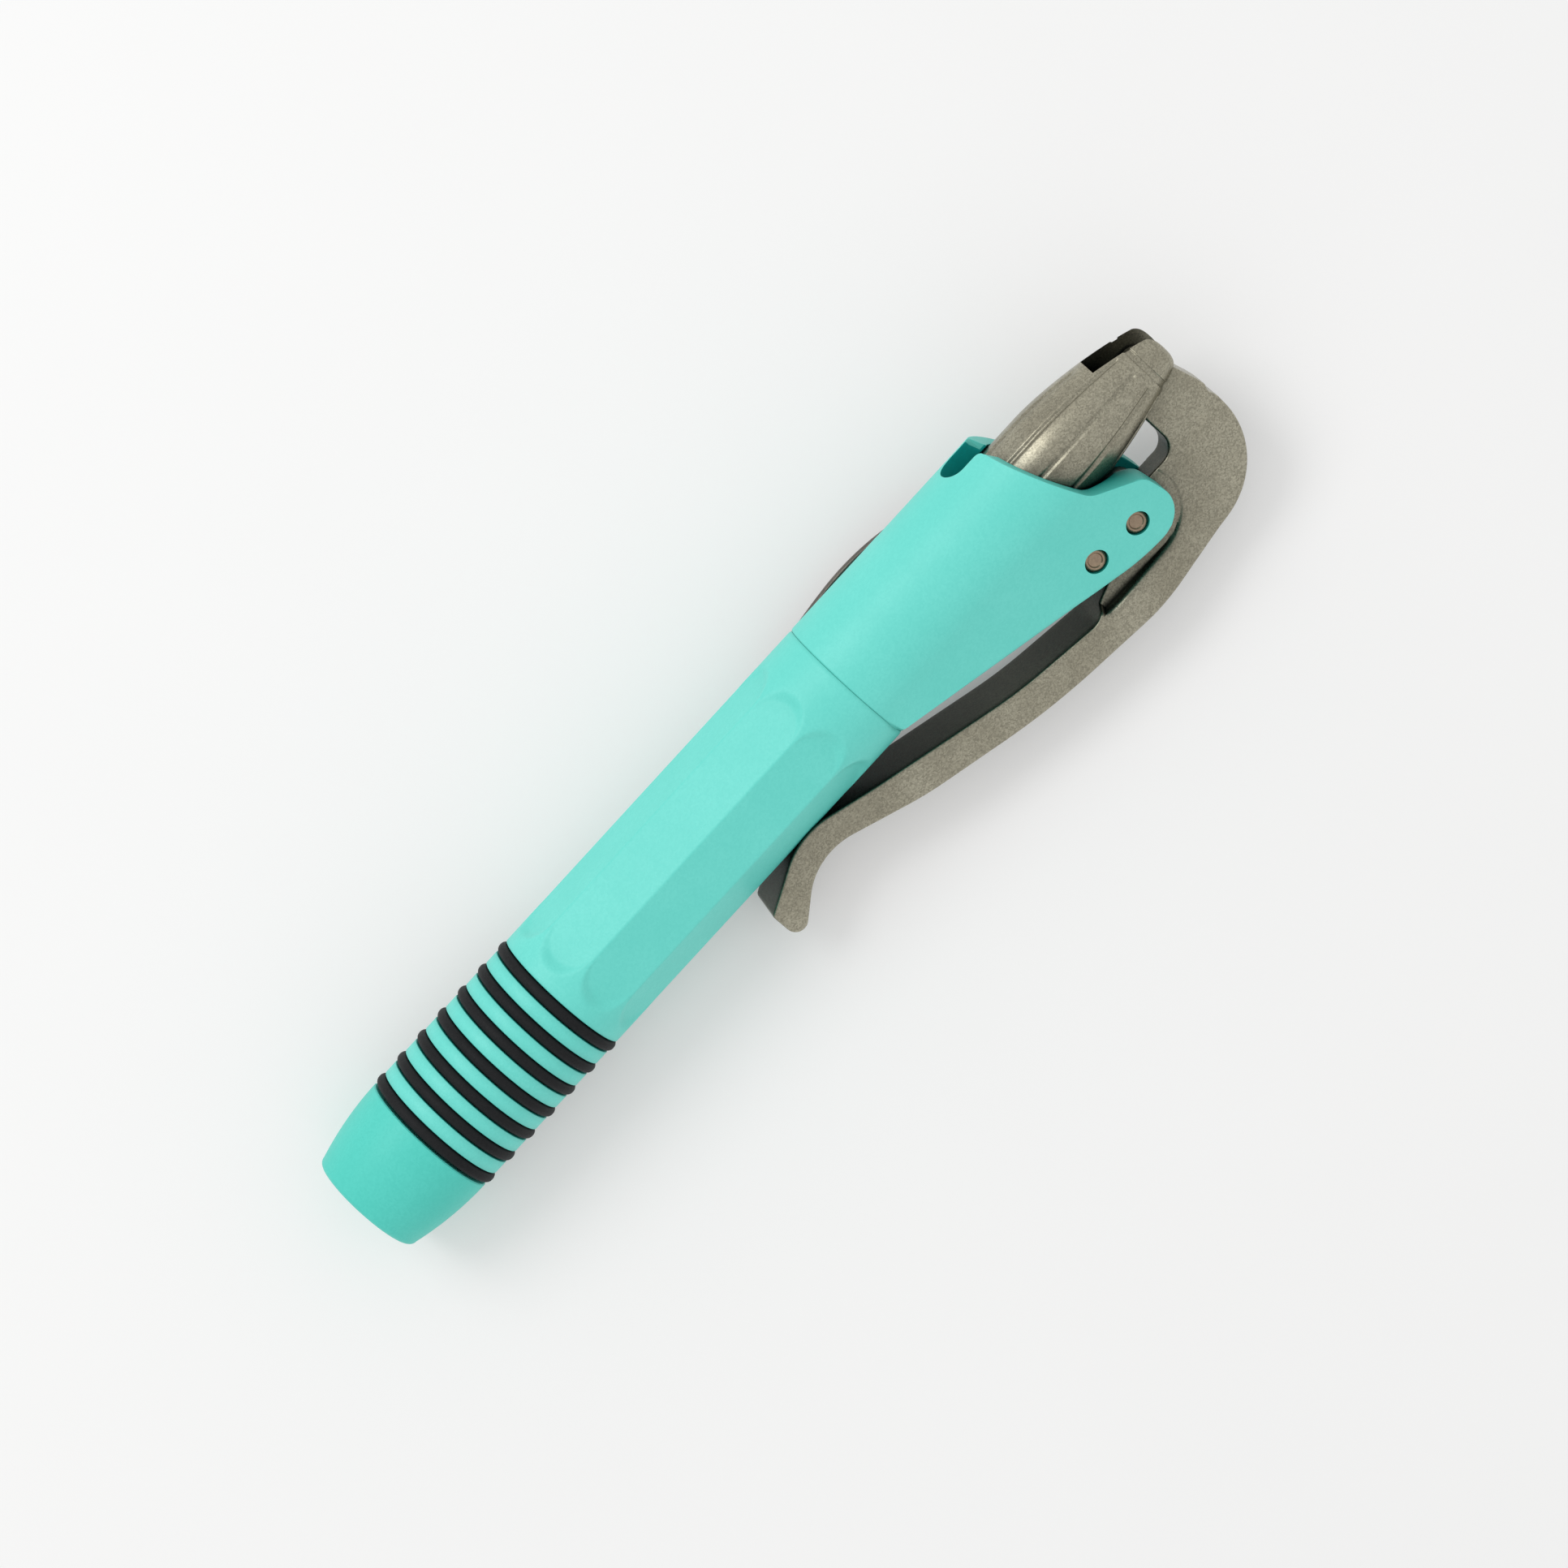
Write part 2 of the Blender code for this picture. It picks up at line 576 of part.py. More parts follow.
def make_spring(build, metal):
    """Main spring between its seat and the collar, and the seat."""
    low = SEAT_AT + SEAT_THICKNESS + SPRING_WIRE + GAP
    high = COLLAR_AT - COLLAR_LENGTH - GAP - SPRING_WIRE
    curve = bpy.data.curves.new("main_spring_line", "CURVE")
    curve.dimensions = "3D"
    curve.bevel_depth = SPRING_WIRE
    curve.bevel_resolution = 1
    curve.use_fill_caps = True
    spline = curve.splines.new("POLY")
    count = SPRING_TURNS * SPRING_STEPS
    spline.points.add(count)
    for i, point in enumerate(spline.points):
        angle = 2 * math.pi * i / SPRING_STEPS
        point.co = (low + (high - low) * i / count, SPRING_RADIUS * math.cos(angle),
                    SPRING_RADIUS * math.sin(angle), 1.0)
    build.from_curve("main_spring", curve, metal)
    print("least gap between the spring's turns: %.2f mm"
          % (1000 * ((high - low) / SPRING_TURNS - 2 * SPRING_WIRE)))
    top = SEAT_AT + SEAT_THICKNESS
    build.turned("spring_seat", [
        (top + SEAT_BOSS_LENGTH, SEAT_HOLE), (top + SEAT_BOSS_LENGTH, SEAT_BOSS_RADIUS),
        (top, SEAT_BOSS_RADIUS), (top, SEAT_RADIUS), (SEAT_AT, SEAT_RADIUS), (SEAT_AT, SEAT_HOLE)],
        metal, segments=SMALL_SEGMENTS)


def make_lever(build, metal, pivot):
    """Lever: its side outline, narrowed in plan, with room for the ears and the washers."""
    lever = build.extruded("lever", rounded(outline_lever()), LEVER_HALF_WIDTH, metal, parent=pivot)
    half = outline_lever_plan()
    plan = rounded(half + [(x, -y, radius) for x, y, radius in reversed(half)])
    high = 2 * PIVOT_DROP
    boolean(lever, "INTERSECT", build.extruded("lever_plan", plan, high, None, turn=(0, 0, 0),
                                               parent=pivot))
    corner = EAR_SWEEP * ROUND_END
    sweep = rounded([(-EAR_ROOM_BACK, -EAR_SWEEP, 0.0), (EAR_SWEEP, -EAR_SWEEP, corner),
                     (EAR_SWEEP, EAR_SWEEP, corner), (-EAR_ROOM_BACK, EAR_SWEEP, 0.0)])
    wide = (LEVER_HALF_WIDTH + PAST - PLATE_HALF) / 2
    for name, side in (("near", -1), ("far", 1)):
        cut(lever, build.extruded("ear_room_" + name, sweep, wide, None, parent=pivot,
                                  at=(0, side * (PLATE_HALF + wide), 0)))
        disc = [(LEVER_HALF_WIDTH, 0.0), (LEVER_HALF_WIDTH, WASHER_RECESS), (WEB_HALF, WASHER_RECESS),
                (WEB_HALF, 0.0)]
        cut(lever, build.turned("washer_room_" + name, disc, None, parent=pivot,
                                turn=(-side * math.pi / 2, 0, 0)))
    cut(lever, build.turned("bush_hole", [
        (LEVER_HALF_WIDTH, 0.0), (LEVER_HALF_WIDTH, BUSH_RADIUS + GAP),
        (-LEVER_HALF_WIDTH, BUSH_RADIUS + GAP), (-LEVER_HALF_WIDTH, 0.0)], None, parent=pivot,
        turn=(-math.pi / 2, 0, 0), segments=SMALL_SEGMENTS))
    return lever


def make_pivot_parts(build, metal, bronze, pivot):
    """Bush in the lever, the washers beside it and the two pins across the ears."""
    across = (-math.pi / 2, 0, 0)
    hole = PIN_RADIUS + GAP
    build.turned("pivot_bush", [(WEB_HALF, hole), (WEB_HALF, BUSH_RADIUS), (-WEB_HALF, BUSH_RADIUS),
                                (-WEB_HALF, hole)], bronze, parent=pivot, turn=across,
                 segments=SMALL_SEGMENTS)
    middle = (WEB_HALF + SLOT_HALF) / 2
    for name, side in (("near", -1), ("far", 1)):
        build.turned("pivot_washer_" + name, [
            (WASHER_HALF, hole), (WASHER_HALF, WASHER_RADIUS), (-WASHER_HALF, WASHER_RADIUS),
            (-WASHER_HALF, hole)], bronze, at=(PIVOT.x, side * middle, PIVOT.z), turn=across,
            segments=SMALL_SEGMENTS)
    for name, at in (("pivot_pin", PIVOT), ("stop_pin", STOP_PIN)):
        cheek = TUBE_RADIUS / math.cos(CHEEK_ANGLE) + at.z * math.tan(CHEEK_ANGLE)
        half = cheek - (PIN_RADIUS + GAP) * math.tan(CHEEK_ANGLE) - PIN_SUNK
        build.turned(name, [
            (half, 0.0), (half, PIN_RADIUS - PIN_CHAMFER), (half - PIN_CHAMFER, PIN_RADIUS),
            (PIN_CHAMFER - half, PIN_RADIUS), (-half, PIN_RADIUS - PIN_CHAMFER), (-half, 0.0)],
            metal, at=at, turn=across, segments=SMALL_SEGMENTS)


def spaced(line, step):
    """Adds points along a line's straight stretches, so that none is longer than a step."""
    points = [line[0]]
    for start, end in zip(line, line[1:]):
        count = max(1, math.ceil((end - start).length / step))
        points += [start.lerp(end, i / count) for i in range(1, count + 1)]
    return points


def clip_line(front, inner, peak):
    """The clip's inner face seen along Z, as points (x, y) from its screwed end to its lip."""
    rest = TUBE_RADIUS + GAP
    lip = HEAD_REAR - CLIP_REACH
    corner, dip = peak, rest
    for _ in range(CLIP_PASSES):
        line = rounded([
            (front, inner, 0.0), (HEAD_REAR + CLIP_SEAT_START, inner, CLIP_SEAT_BEND),
            (HEAD_REAR + CLIP_PEAK_AT, corner, CLIP_BEND), (lip, dip, CLIP_LIP_BEND),
            (lip - CLIP_LIP, rest + CLIP_LIP_RISE, 0.0), (lip - CLIP_LIP, 0.0, 0.0),
            (front, 0.0, 0.0)])[:-2]
        corner += peak - max(point[1] for point in line)
        dip += rest - min(point[1] for point in line if point[0] < HEAD_REAR)
    return line


def make_clip(build, metal):
    """Carry clip: a bent strip on the far cheek, held by two screws."""
    inner = CLIP_FLAT + GAP
    front = HEAD_REAR + CLIP_SEAT_START + CLIP_SEAT_LENGTH - GAP
    shape = bmesh.new()
    rows = []
    for x, y in spaced(clip_line(front, inner, CLIP_PEAK - CLIP_THICKNESS), CLIP_STEP):
        half = CLIP_WIDTH / 2 * (1 - ((x - HEAD_REAR - CLIP_PEAK_AT) / CLIP_LEAF) ** 2)
        rows.append([shape.verts.new((x, y, side * half)) for side in (-1, 1)])
    for first, second in zip(rows, rows[1:]):
        shape.faces.new((first[0], first[1], second[1], second[0]))
    mesh = bpy.data.meshes.new("carry_clip")
    shape.to_mesh(mesh)
    shape.free()
    clip = build.add("carry_clip", mesh, metal)
    skin = clip.modifiers.new("thickness", "SOLIDIFY")
    skin.thickness = CLIP_THICKNESS
    skin.offset = -1.0
    skin.use_even_offset = True
    outer = inner + CLIP_THICKNESS
    for i, at in enumerate(screw_places()):
        cut(clip, build.pin_cutter("clip_hole_%d" % i, at, SCREW_SHANK + GAP, inner - PAST,
                                   outer + PAST))
        low = outer + GAP
        screw = build.turned("clip_screw_%d" % (i + 1), [
            (low + SCREW_HEAD_HEIGHT, 0.0), (low + SCREW_HEAD_HEIGHT, SCREW_HEAD_TOP),
            (low + SCREW_HEAD_HEIGHT / 2, SCREW_HEAD_RADIUS), (low, SCREW_HEAD_RADIUS),
            (low, SCREW_SHANK), (CLIP_FLAT - SCREW_DEPTH, SCREW_SHANK), (CLIP_FLAT - SCREW_DEPTH, 0.0)],
            metal, at=(at[0], 0, 0), turn=(-math.pi / 2, 0, 0), segments=SMALL_SEGMENTS)
        top = low + SCREW_HEAD_HEIGHT
        cut(screw, build.turned("socket_%d" % i, [
            (top + GAP, 0.0), (top + GAP, SCREW_SOCKET_RADIUS),
            (top - SCREW_SOCKET_DEPTH, SCREW_SOCKET_RADIUS), (top - SCREW_SOCKET_DEPTH, 0.0)], None,
            at=(at[0], 0, 0), turn=(-math.pi / 2, 0, 0), segments=6))
    return clip


def world_points(solids):
    """The evaluated corners of some solids, as one array in world space."""
    graph = bpy.context.evaluated_depsgraph_get()
    clouds = []
    for solid in solids:
        seen = solid.evaluated_get(graph)
        mesh = seen.to_mesh()
        flat = np.empty(len(mesh.vertices) * 3)
        mesh.vertices.foreach_get("co", flat)
        seen.to_mesh_clear()
        matrix = np.array(solid.matrix_world)
        clouds.append(flat.reshape(-1, 3) @ matrix[:3, :3].T + matrix[:3, 3])
    return np.concatenate(clouds)


def lay_on_table(build, supports):
    """Turns the rig until its three groups of supports touch one level plane, at Z = 0."""
    bpy.context.view_layer.update()
    clouds = [world_points(group) for group in supports]
    angles = np.array([START_ROLL, START_PITCH])

    def heights(tilt):
        turn = np.array(Matrix.Rotation(tilt[1], 3, "Y") @ Matrix.Rotation(tilt[0], 3, "X"))
        lows = [(cloud @ turn.T)[:, 2].min() for cloud in clouds]
        return np.array([lows[1] - lows[0], lows[2] - lows[0]])

    nudge = 1e-4
    for _ in range(LEVEL_PASSES):
        level = heights(angles)
        slope = np.stack([(heights(angles + nudge * axis) - level) / nudge for axis in np.eye(2)], axis=1)
        angles = angles - np.linalg.solve(slope, level)
    build.rig.rotation_euler = (angles[0], angles[1], 0.0)
    bpy.context.view_layer.update()
    solids = [thing for thing in build.parts.objects if thing.type == "MESH"]
    cloud = world_points(solids)
    low, high = cloud.min(axis=0), cloud.max(axis=0)
    build.rig.location = (-(low[0] + high[0]) / 2, -(low[1] + high[1]) / 2, -low[2])
    print("lies at %.2f and %.2f degrees" % tuple(np.degrees(angles)))


def main():
    """Builds the trainer."""
    clear_scene()
    build = Builder("grip_trainer")
    coating = make_material("teal_coating", (0.13, 0.70, 0.62), 0.55, 0.0)
    rubber = make_material("black_rubber", (0.012, 0.014, 0.016), 0.6, 0.0)
    metal = make_material("blasted_metal", (0.30, 0.28, 0.23), 0.45, 0.9)
    pin_steel = make_material("pin_steel", (0.34, 0.26, 0.21), 0.4, 0.9)
    bronze = make_material("bronze", (0.45, 0.30, 0.14), 0.4, 0.9)
    pivot = bpy.data.objects.new("pivot", None)
    build.parts.objects.link(pivot)
    pivot.parent = build.rig
    pivot.location = PIVOT

    cap = make_end_cap(build, coating)
    tube = make_handle_tube(build, coating)
    rings = make_rings(build, rubber)
    make_head(build, coating)
    make_nose(build, metal)
    make_push_rod(build, metal)
    make_spring(build, metal)
    lever = make_lever(build, metal, pivot)
    make_pivot_parts(build, pin_steel, bronze, pivot)
    clip = make_clip(build, metal)
    lay_on_table(build, [[cap, tube] + rings, [lever], [clip]])


main()
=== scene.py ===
"""Lever grip trainer: the visible model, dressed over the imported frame.

Every piece is a surface worked out in the trainer's own axes, +X from the butt to the nose,
+Z towards the head's back and +Y towards the carry clip, with the butt's face at X = 0. The
frame's joints say how those axes lie in the row frame, and each mesh is written there.
"""

import json
import logging
import math
from dataclasses import dataclass
from enum import Enum
from typing import Callable, Sequence

import bmesh
import bpy
import numpy as np
from mathutils import Matrix, Vector


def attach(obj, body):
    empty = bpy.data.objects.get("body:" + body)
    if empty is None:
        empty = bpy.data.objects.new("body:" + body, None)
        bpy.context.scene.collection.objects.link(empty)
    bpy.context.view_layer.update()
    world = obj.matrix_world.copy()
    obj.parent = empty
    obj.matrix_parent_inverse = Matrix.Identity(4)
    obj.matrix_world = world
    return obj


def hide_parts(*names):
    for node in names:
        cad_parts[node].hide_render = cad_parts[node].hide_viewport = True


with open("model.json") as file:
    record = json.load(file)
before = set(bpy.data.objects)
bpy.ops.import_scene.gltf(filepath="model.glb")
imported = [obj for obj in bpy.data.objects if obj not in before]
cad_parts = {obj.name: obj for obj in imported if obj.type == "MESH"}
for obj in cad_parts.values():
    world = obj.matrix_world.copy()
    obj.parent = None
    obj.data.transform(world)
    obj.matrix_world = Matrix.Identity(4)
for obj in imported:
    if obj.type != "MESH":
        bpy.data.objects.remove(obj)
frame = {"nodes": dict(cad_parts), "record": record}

LOG = logging.getLogger("trainer")
WELD = 2e-6                       # points closer than this are one
SMOOTH_ANGLE = math.radians(38)   # edges sharper than this keep their crease
CROWD = 0.35                      # how much the head's points crowd towards its edges
FINE_STEP = 0.0001                # between the points of a finely divided edge
PAST = 0.02                       # how far cutters reach, past every surface that they cut


class Body(Enum):
    """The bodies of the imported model."""

    HANDLE = "handle"
    LEVER = "lever"
    NOSE = "nose"


class Axis(Enum):
    """The axis that a turned piece is turned about."""

    ALONG = (0, 1, 2)
    ACROSS = (1, 0, 2)


@dataclass(frozen=True)
class Sizes:
    """Sizes in metres that several pieces share, as in the CAD model."""

    gap: float = 0.0003
    tube_radius: float = 0.012
    tube_bore: float = 0.0085
    butt: float = -0.0004
    cap_end: float = 0.01515
    tube_rear: float = 0.01535
    head_rear: float = 0.1143
    head_bore: float = 0.0089
    joint_chamfer: float = 0.0005
    joint_fall: float = 0.36
    spigot_radius: float = 0.0097
    spigot_length: float = 0.0137
    clip_flat: float = 0.0112
    clip_seat_start: float = 0.0225
    clip_seat_length: float = 0.0117
    screw_spacing: float = 0.005
    slot_half: float = 0.00325
    pin_radius: float = 0.002
    pivot: tuple[float, float, float] = (0.1642, 0.0, -0.015)
    stop_pin: tuple[float, float, float] = (0.1553, 0.0, -0.0142)
    cheek_angle: float = math.radians(15)

    def cheek(self, z: np.ndarray | float) -> np.ndarray | float:
        """Half width between the planar cheeks at a height, where they touch the round back."""
        return self.tube_radius / math.cos(self.cheek_angle) + z * math.tan(self.cheek_angle)


class DesignFrame:
    """The trainer's own axes, found from the frame's two joints."""

    def __init__(self, joints: Sequence[dict], pivot: Sequence[float]) -> None:
        """Reads the axes.

        Args:
            joints: the record's joints, with the hinge about -Y and the slide along -X.
            pivot: the hinge's place in the trainer's own axes.
        """
        by_type = {joint["type"]: joint for joint in joints}
        along = -np.array(by_type["slide"]["axis"], dtype=float)
        along /= np.linalg.norm(along)
        across = -np.array(by_type["hinge"]["axis"], dtype=float)
        across -= along * (across @ along)
        across /= np.linalg.norm(across)
        self.turn = np.stack([along, across, np.cross(along, across)], axis=1)
        self.origin = np.array(by_type["hinge"]["pos_m"]) - self.turn @ np.array(pivot)

    def to_row(self, points: np.ndarray) -> np.ndarray:
        """Points of the trainer's own axes, in the row frame."""
        return points @ self.turn.T + self.origin

    def from_row(self, points: np.ndarray) -> np.ndarray:
        """Points of the row frame, in the trainer's own axes."""
        return (points - self.origin) @ self.turn


def rounded_path(corners: Sequence[tuple[float, float, float]], closed: bool, step: float) -> np.ndarray:
    """Polyline through corners (x, y, radius), with an arc in place of each corner.

    An arc touches both sides of its corner: its centre lies on their bisector, at
    radius / sin(half the opening) from the corner. Straight stretches are divided too.

    Args:
        corners: the corners in order.
        closed: whether the last corner joins the first.
        step: largest distance between points.

    Returns:
        The points, one row each.
    """
    places = np.array([corner[:2] for corner in corners], dtype=float)
    runs: list[np.ndarray] = []
    for i, corner in enumerate(corners):
        here, radius = places[i], corner[2]
        if not closed and i in (0, len(corners) - 1):
            runs.append(here[None])
            continue
        before = places[i - 1] - here
        after = places[(i + 1) % len(corners)] - here
        before, after = before / np.linalg.norm(before), after / np.linalg.norm(after)
        opening = math.acos(float(np.clip(before @ after, -1, 1)))
        if radius == 0.0 or opening > math.radians(179.5):
            runs.append(here[None])
            continue
        reach = radius / math.tan(opening / 2)
        bisector = (before + after) / np.linalg.norm(before + after)
        centre = here + bisector * radius / math.sin(opening / 2)
        arm = here + before * reach - centre
        other = here + after * reach - centre
        sweep = math.atan2(arm[0] * other[1] - arm[1] * other[0], arm @ other)
        count = max(3, math.ceil(abs(sweep) * radius / step), math.ceil(abs(sweep) / math.radians(9)))
        angle = math.atan2(arm[1], arm[0]) + sweep * np.arange(count + 1) / count
        runs.append(centre + radius * np.stack([np.cos(angle), np.sin(angle)], axis=1))
    points: list[np.ndarray] = []
    pairs = list(zip(runs, runs[1:] + runs[:1])) if closed else list(zip(runs, runs[1:]))
    for run, following in pairs:
        points.append(run)
        length = np.linalg.norm(following[0] - run[-1])
        count = math.ceil(length / step)
        part = np.arange(1, count)[:, None] / max(count, 1)
        points.append(run[-1] + (following[0] - run[-1]) * part)
    if not closed:
        points.append(runs[-1])
    return np.concatenate(points)


def along_path(points: np.ndarray) -> np.ndarray:
    """Distance from the first point of a polyline to each of its points."""
    return np.concatenate([[0.0], np.cumsum(np.linalg.norm(np.diff(points, axis=0), axis=1))])


def at_distances(points: np.ndarray, distances: np.ndarray) -> np.ndarray:
    """Points of a polyline at given distances along it."""
    run = along_path(points)
    return np.stack([np.interp(distances, run, points[:, k]) for k in range(points.shape[1])], axis=1)


def at_shares(points: np.ndarray, shares: np.ndarray) -> np.ndarray:
    """Points of a polyline at given shares of its count."""
    index = np.arange(len(points)) / (len(points) - 1)
    return np.stack([np.interp(shares, index, points[:, k]) for k in range(points.shape[1])], axis=1)


def softer_min(a: np.ndarray, b: np.ndarray, blend: float) -> np.ndarray:
    """The smaller of two values, rounded by a parabola where they differ by less than the blend."""
    share = np.clip(0.5 + 0.5 * (b - a) / blend, 0.0, 1.0)
    return b * (1 - share) + a * share - blend * share * (1 - share)


def softer_max(a: np.ndarray, b: np.ndarray, blend: float) -> np.ndarray:
    """The larger of two values, rounded in the same way."""
    return -softer_min(-a, -b, blend)


def ease(value: np.ndarray) -> np.ndarray:
    """Smooth step from 0 to 1, level at both ends."""
    share = np.clip(value, 0.0, 1.0)
    return share * share * (3 - 2 * share)


def crowded(count: int, crowd: float, both: bool = True) -> np.ndarray:
    """Shares from 0 to 1 that lie closer together towards the ends.

    Args:
        count: number of steps.
        crowd: from 0, evenly spaced, to 1, as the cosine does.
        both: False crowds them only towards 1.

    Returns:
        The shares.
    """
    even = np.arange(count + 1) / count
    bunched = (1 - np.cos(np.pi * even)) / 2 if both else np.sin(np.pi * even / 2)
    return even * (1 - crowd) + bunched * crowd


def stages(*counts: int) -> list[np.ndarray]:
    """Shares along a line of several stretches, one array for each.

    Args:
        counts: number of steps of each stretch.

    Returns:
        For each stretch its shares, 0 before it, crowded up to 1 along it, and 1 after it.
    """
    ends = np.cumsum(counts)
    return [np.concatenate([np.zeros(end - count + 1), crowded(count, CROWD)[1:], np.ones(ends[-1] - end)])
            for count, end in zip(counts, ends)]


def turned(profile: np.ndarray, segments: int, axis: Axis = Axis.ALONG) -> np.ndarray:
    """Surface of revolution: each (along, radius) of a profile, carried round an axis.

    Args:
        profile: rows of (along, radius).
        segments: points round the axis.
        axis: the axis turned about.

    Returns:
        A grid of points, closed in its second direction.
    """
    angle = 2 * np.pi * np.arange(segments) / segments
    along = np.broadcast_to(profile[:, :1], (len(profile), segments))
    grid = [along, profile[:, 1:] * np.sin(angle), profile[:, 1:] * np.cos(angle)]
    return np.stack([grid[axis.value.index(k)] for k in range(3)], axis=-1)


class Surface:
    """Grids of points that are welded into one closed mesh."""

    def __init__(self) -> None:
        """Starts empty."""
        self.points: list[np.ndarray] = []
        self.faces: list[np.ndarray] = []
        self.count = 0

    def grid(self, points: np.ndarray, closed: bool = False) -> "Surface":
        """Adds a grid of points.

        Args:
            points: rows by columns by 3.
            closed: whether the last column joins the first.

        Returns:
            The surface itself.
        """
        rows, columns = points.shape[:2]
        index = np.arange(rows * columns).reshape(rows, columns) + self.count
        if closed:
            index = np.hstack([index, index[:, :1]])
        quads = np.stack([index[:-1, :-1], index[:-1, 1:], index[1:, 1:], index[1:, :-1]], axis=-1)
        self.points.append(points.reshape(-1, 3))
        self.faces.append(quads.reshape(-1, 4))
        self.count += rows * columns
        return self

    def zipped(self, first: np.ndarray, second: np.ndarray) -> "Surface":
        """Joins two lines of points with triangles, in the order of their shares of the way.

        Args:
            first: points of one line.
            second: points of the other, of any count, running the same way.

        Returns:
            The surface itself.
        """
        ways = [along_path(line)[1:] / along_path(line)[-1] for line in (first, second)]
        on_first = np.argsort(np.concatenate(ways), kind="stable") < len(ways[0])
        i = np.concatenate([[0], np.cumsum(on_first)[:-1]])
        j = np.concatenate([[0], np.cumsum(~on_first)[:-1]])
        base = self.count + len(first)
        third = np.where(on_first, self.count + i + 1, base + j + 1)
        self.points += [first, second]
        self.faces.append(np.stack([self.count + i, base + j, third], axis=1))
        self.count = base + len(second)
        return self

    def with_mirror(self) -> "Surface":
        """Adds the mirror image across the trainer's middle plane."""
        flip = np.array([1.0, -1.0, 1.0])
        self.points += [points * flip for points in self.points]
        self.faces += [faces + self.count for faces in self.faces]
        self.count *= 2
        return self

    def drop(self, unwanted: Callable[[np.ndarray], np.ndarray]) -> "Surface":
        """Drops the faces whose corners all answer to a test."""
        test = unwanted(np.concatenate(self.points))
        self.faces = [faces[~test[faces].all(axis=1)] for faces in self.faces]
        return self

    def mesh(self, name: str, axes: DesignFrame) -> bpy.types.Mesh:
        """Writes the welded mesh in the row frame, with its faces pointing outwards."""
        mesh = bpy.data.meshes.new(name)
        points = axes.to_row(np.concatenate(self.points))
        mesh.from_pydata(points.tolist(), [], [face for faces in self.faces for face in faces.tolist()])
        shape = bmesh.new()
        shape.from_mesh(mesh)
        bmesh.ops.remove_doubles(shape, verts=shape.verts, dist=WELD)
        bmesh.ops.dissolve_degenerate(shape, edges=shape.edges, dist=WELD)
        bmesh.ops.recalc_face_normals(shape, faces=shape.faces)
        shape.to_mesh(mesh)
        shape.free()
        return mesh


class Workshop:
    """Makes pieces of surfaces, and puts each on its body with its finish."""

    def __init__(self, axes: DesignFrame) -> None:
        """Keeps the axes that every piece is worked out in."""
        self.axes = axes

    def piece(self, name: str, surface: Surface, finish: "Finish", body: Body, nodes: Sequence[str],
              cutters: Sequence[Surface] = (), soften: int = 0) -> bpy.types.Object:
        """Makes one piece.

        Args:
            name: the piece's name.
            surface: its closed surface.
            finish: its finish, which also names the record's slot.
            body: the body that it rides on.
            nodes: the CAD nodes that it stands for.
            cutters: closed surfaces that are cut out of it.
            soften: passes that round its creases.

        Returns:
            The piece.
        """
        mesh = surface.mesh(name, self.axes)
        if soften:
            self.round_creases(mesh, soften)
        made = bpy.data.objects.new(name, mesh)
        bpy.context.scene.collection.objects.link(made)
        if cutters:
            self.carve(made, cutters)
        made.data.shade_smooth()
        made.data.set_sharp_from_angle(angle=SMOOTH_ANGLE)
        made.data.materials.clear()
        made.data.materials.append(finish.material())
        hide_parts(*nodes)
        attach(made, body.value)
        LOG.info("%s: %d faces on %s", name, len(made.data.polygons), body.value)
        return made

    def carve(self, made: bpy.types.Object, cutters: Sequence[Surface]) -> None:
        """Cuts closed surfaces out of a piece, and keeps the result as its mesh."""
        tools = []
        for k, cutter in enumerate(cutters):
            tool = bpy.data.objects.new("cutter_%d" % k, cutter.mesh("cutter", self.axes))
            bpy.context.scene.collection.objects.link(tool)
            step = made.modifiers.new("cut_%d" % k, "BOOLEAN")
            step.object, step.operation, step.solver = tool, "DIFFERENCE", "EXACT"
            tools.append(tool)
        bpy.context.view_layer.update()
        seen = made.evaluated_get(bpy.context.evaluated_depsgraph_get())
        mesh = bpy.data.meshes.new_from_object(seen)
        made.modifiers.clear()
        made.data = mesh
        for tool in tools:
            bpy.data.objects.remove(tool, do_unlink=True)

    @staticmethod
    def round_creases(mesh: bpy.types.Mesh, passes: int) -> None:
        """Rounds creases by moving their points towards the mean of their neighbours."""
        shape = bmesh.new()
        shape.from_mesh(mesh)
        creased = {v for e in shape.edges if e.is_manifold and e.calc_face_angle() > SMOOTH_ANGLE
                   for v in e.verts}
        for _ in range(passes):
            bmesh.ops.smooth_vert(shape, verts=list(creased), factor=0.5,
                                  use_axis_x=True, use_axis_y=True, use_axis_z=True)
        shape.to_mesh(mesh)
        shape.free()

    def paint_shade_inside(self, made: bpy.types.Object, finish: "Finish",
                    inside: Callable[[np.ndarray], np.ndarray]) -> None:
        """Gives the faces whose middles answer to a test a second finish, a darker copy that paints shade on
        them.

        Args:
            made: the piece.
            finish: the second finish, which paints shade.
            inside: says of points in the trainer's own axes which are meant.
        """
        mesh = made.data
        mesh.materials.append(finish.material())
        middles = np.empty(len(mesh.polygons) * 3)
        mesh.polygons.foreach_get("center", middles)
        picked = inside(self.axes.from_row(middles.reshape(-1, 3)))
        mesh.polygons.foreach_set("material_index", picked.astype(np.int32))

    def dress(self, node: str, finish: "Finish") -> None:
        """Gives a CAD node that stays in view its finish."""
        target = frame["nodes"][node]
        for place in target.material_slots:
            place.link = "OBJECT"
            place.material = finish.material()
        LOG.info("%s keeps its solid, in %s", node, finish.name)


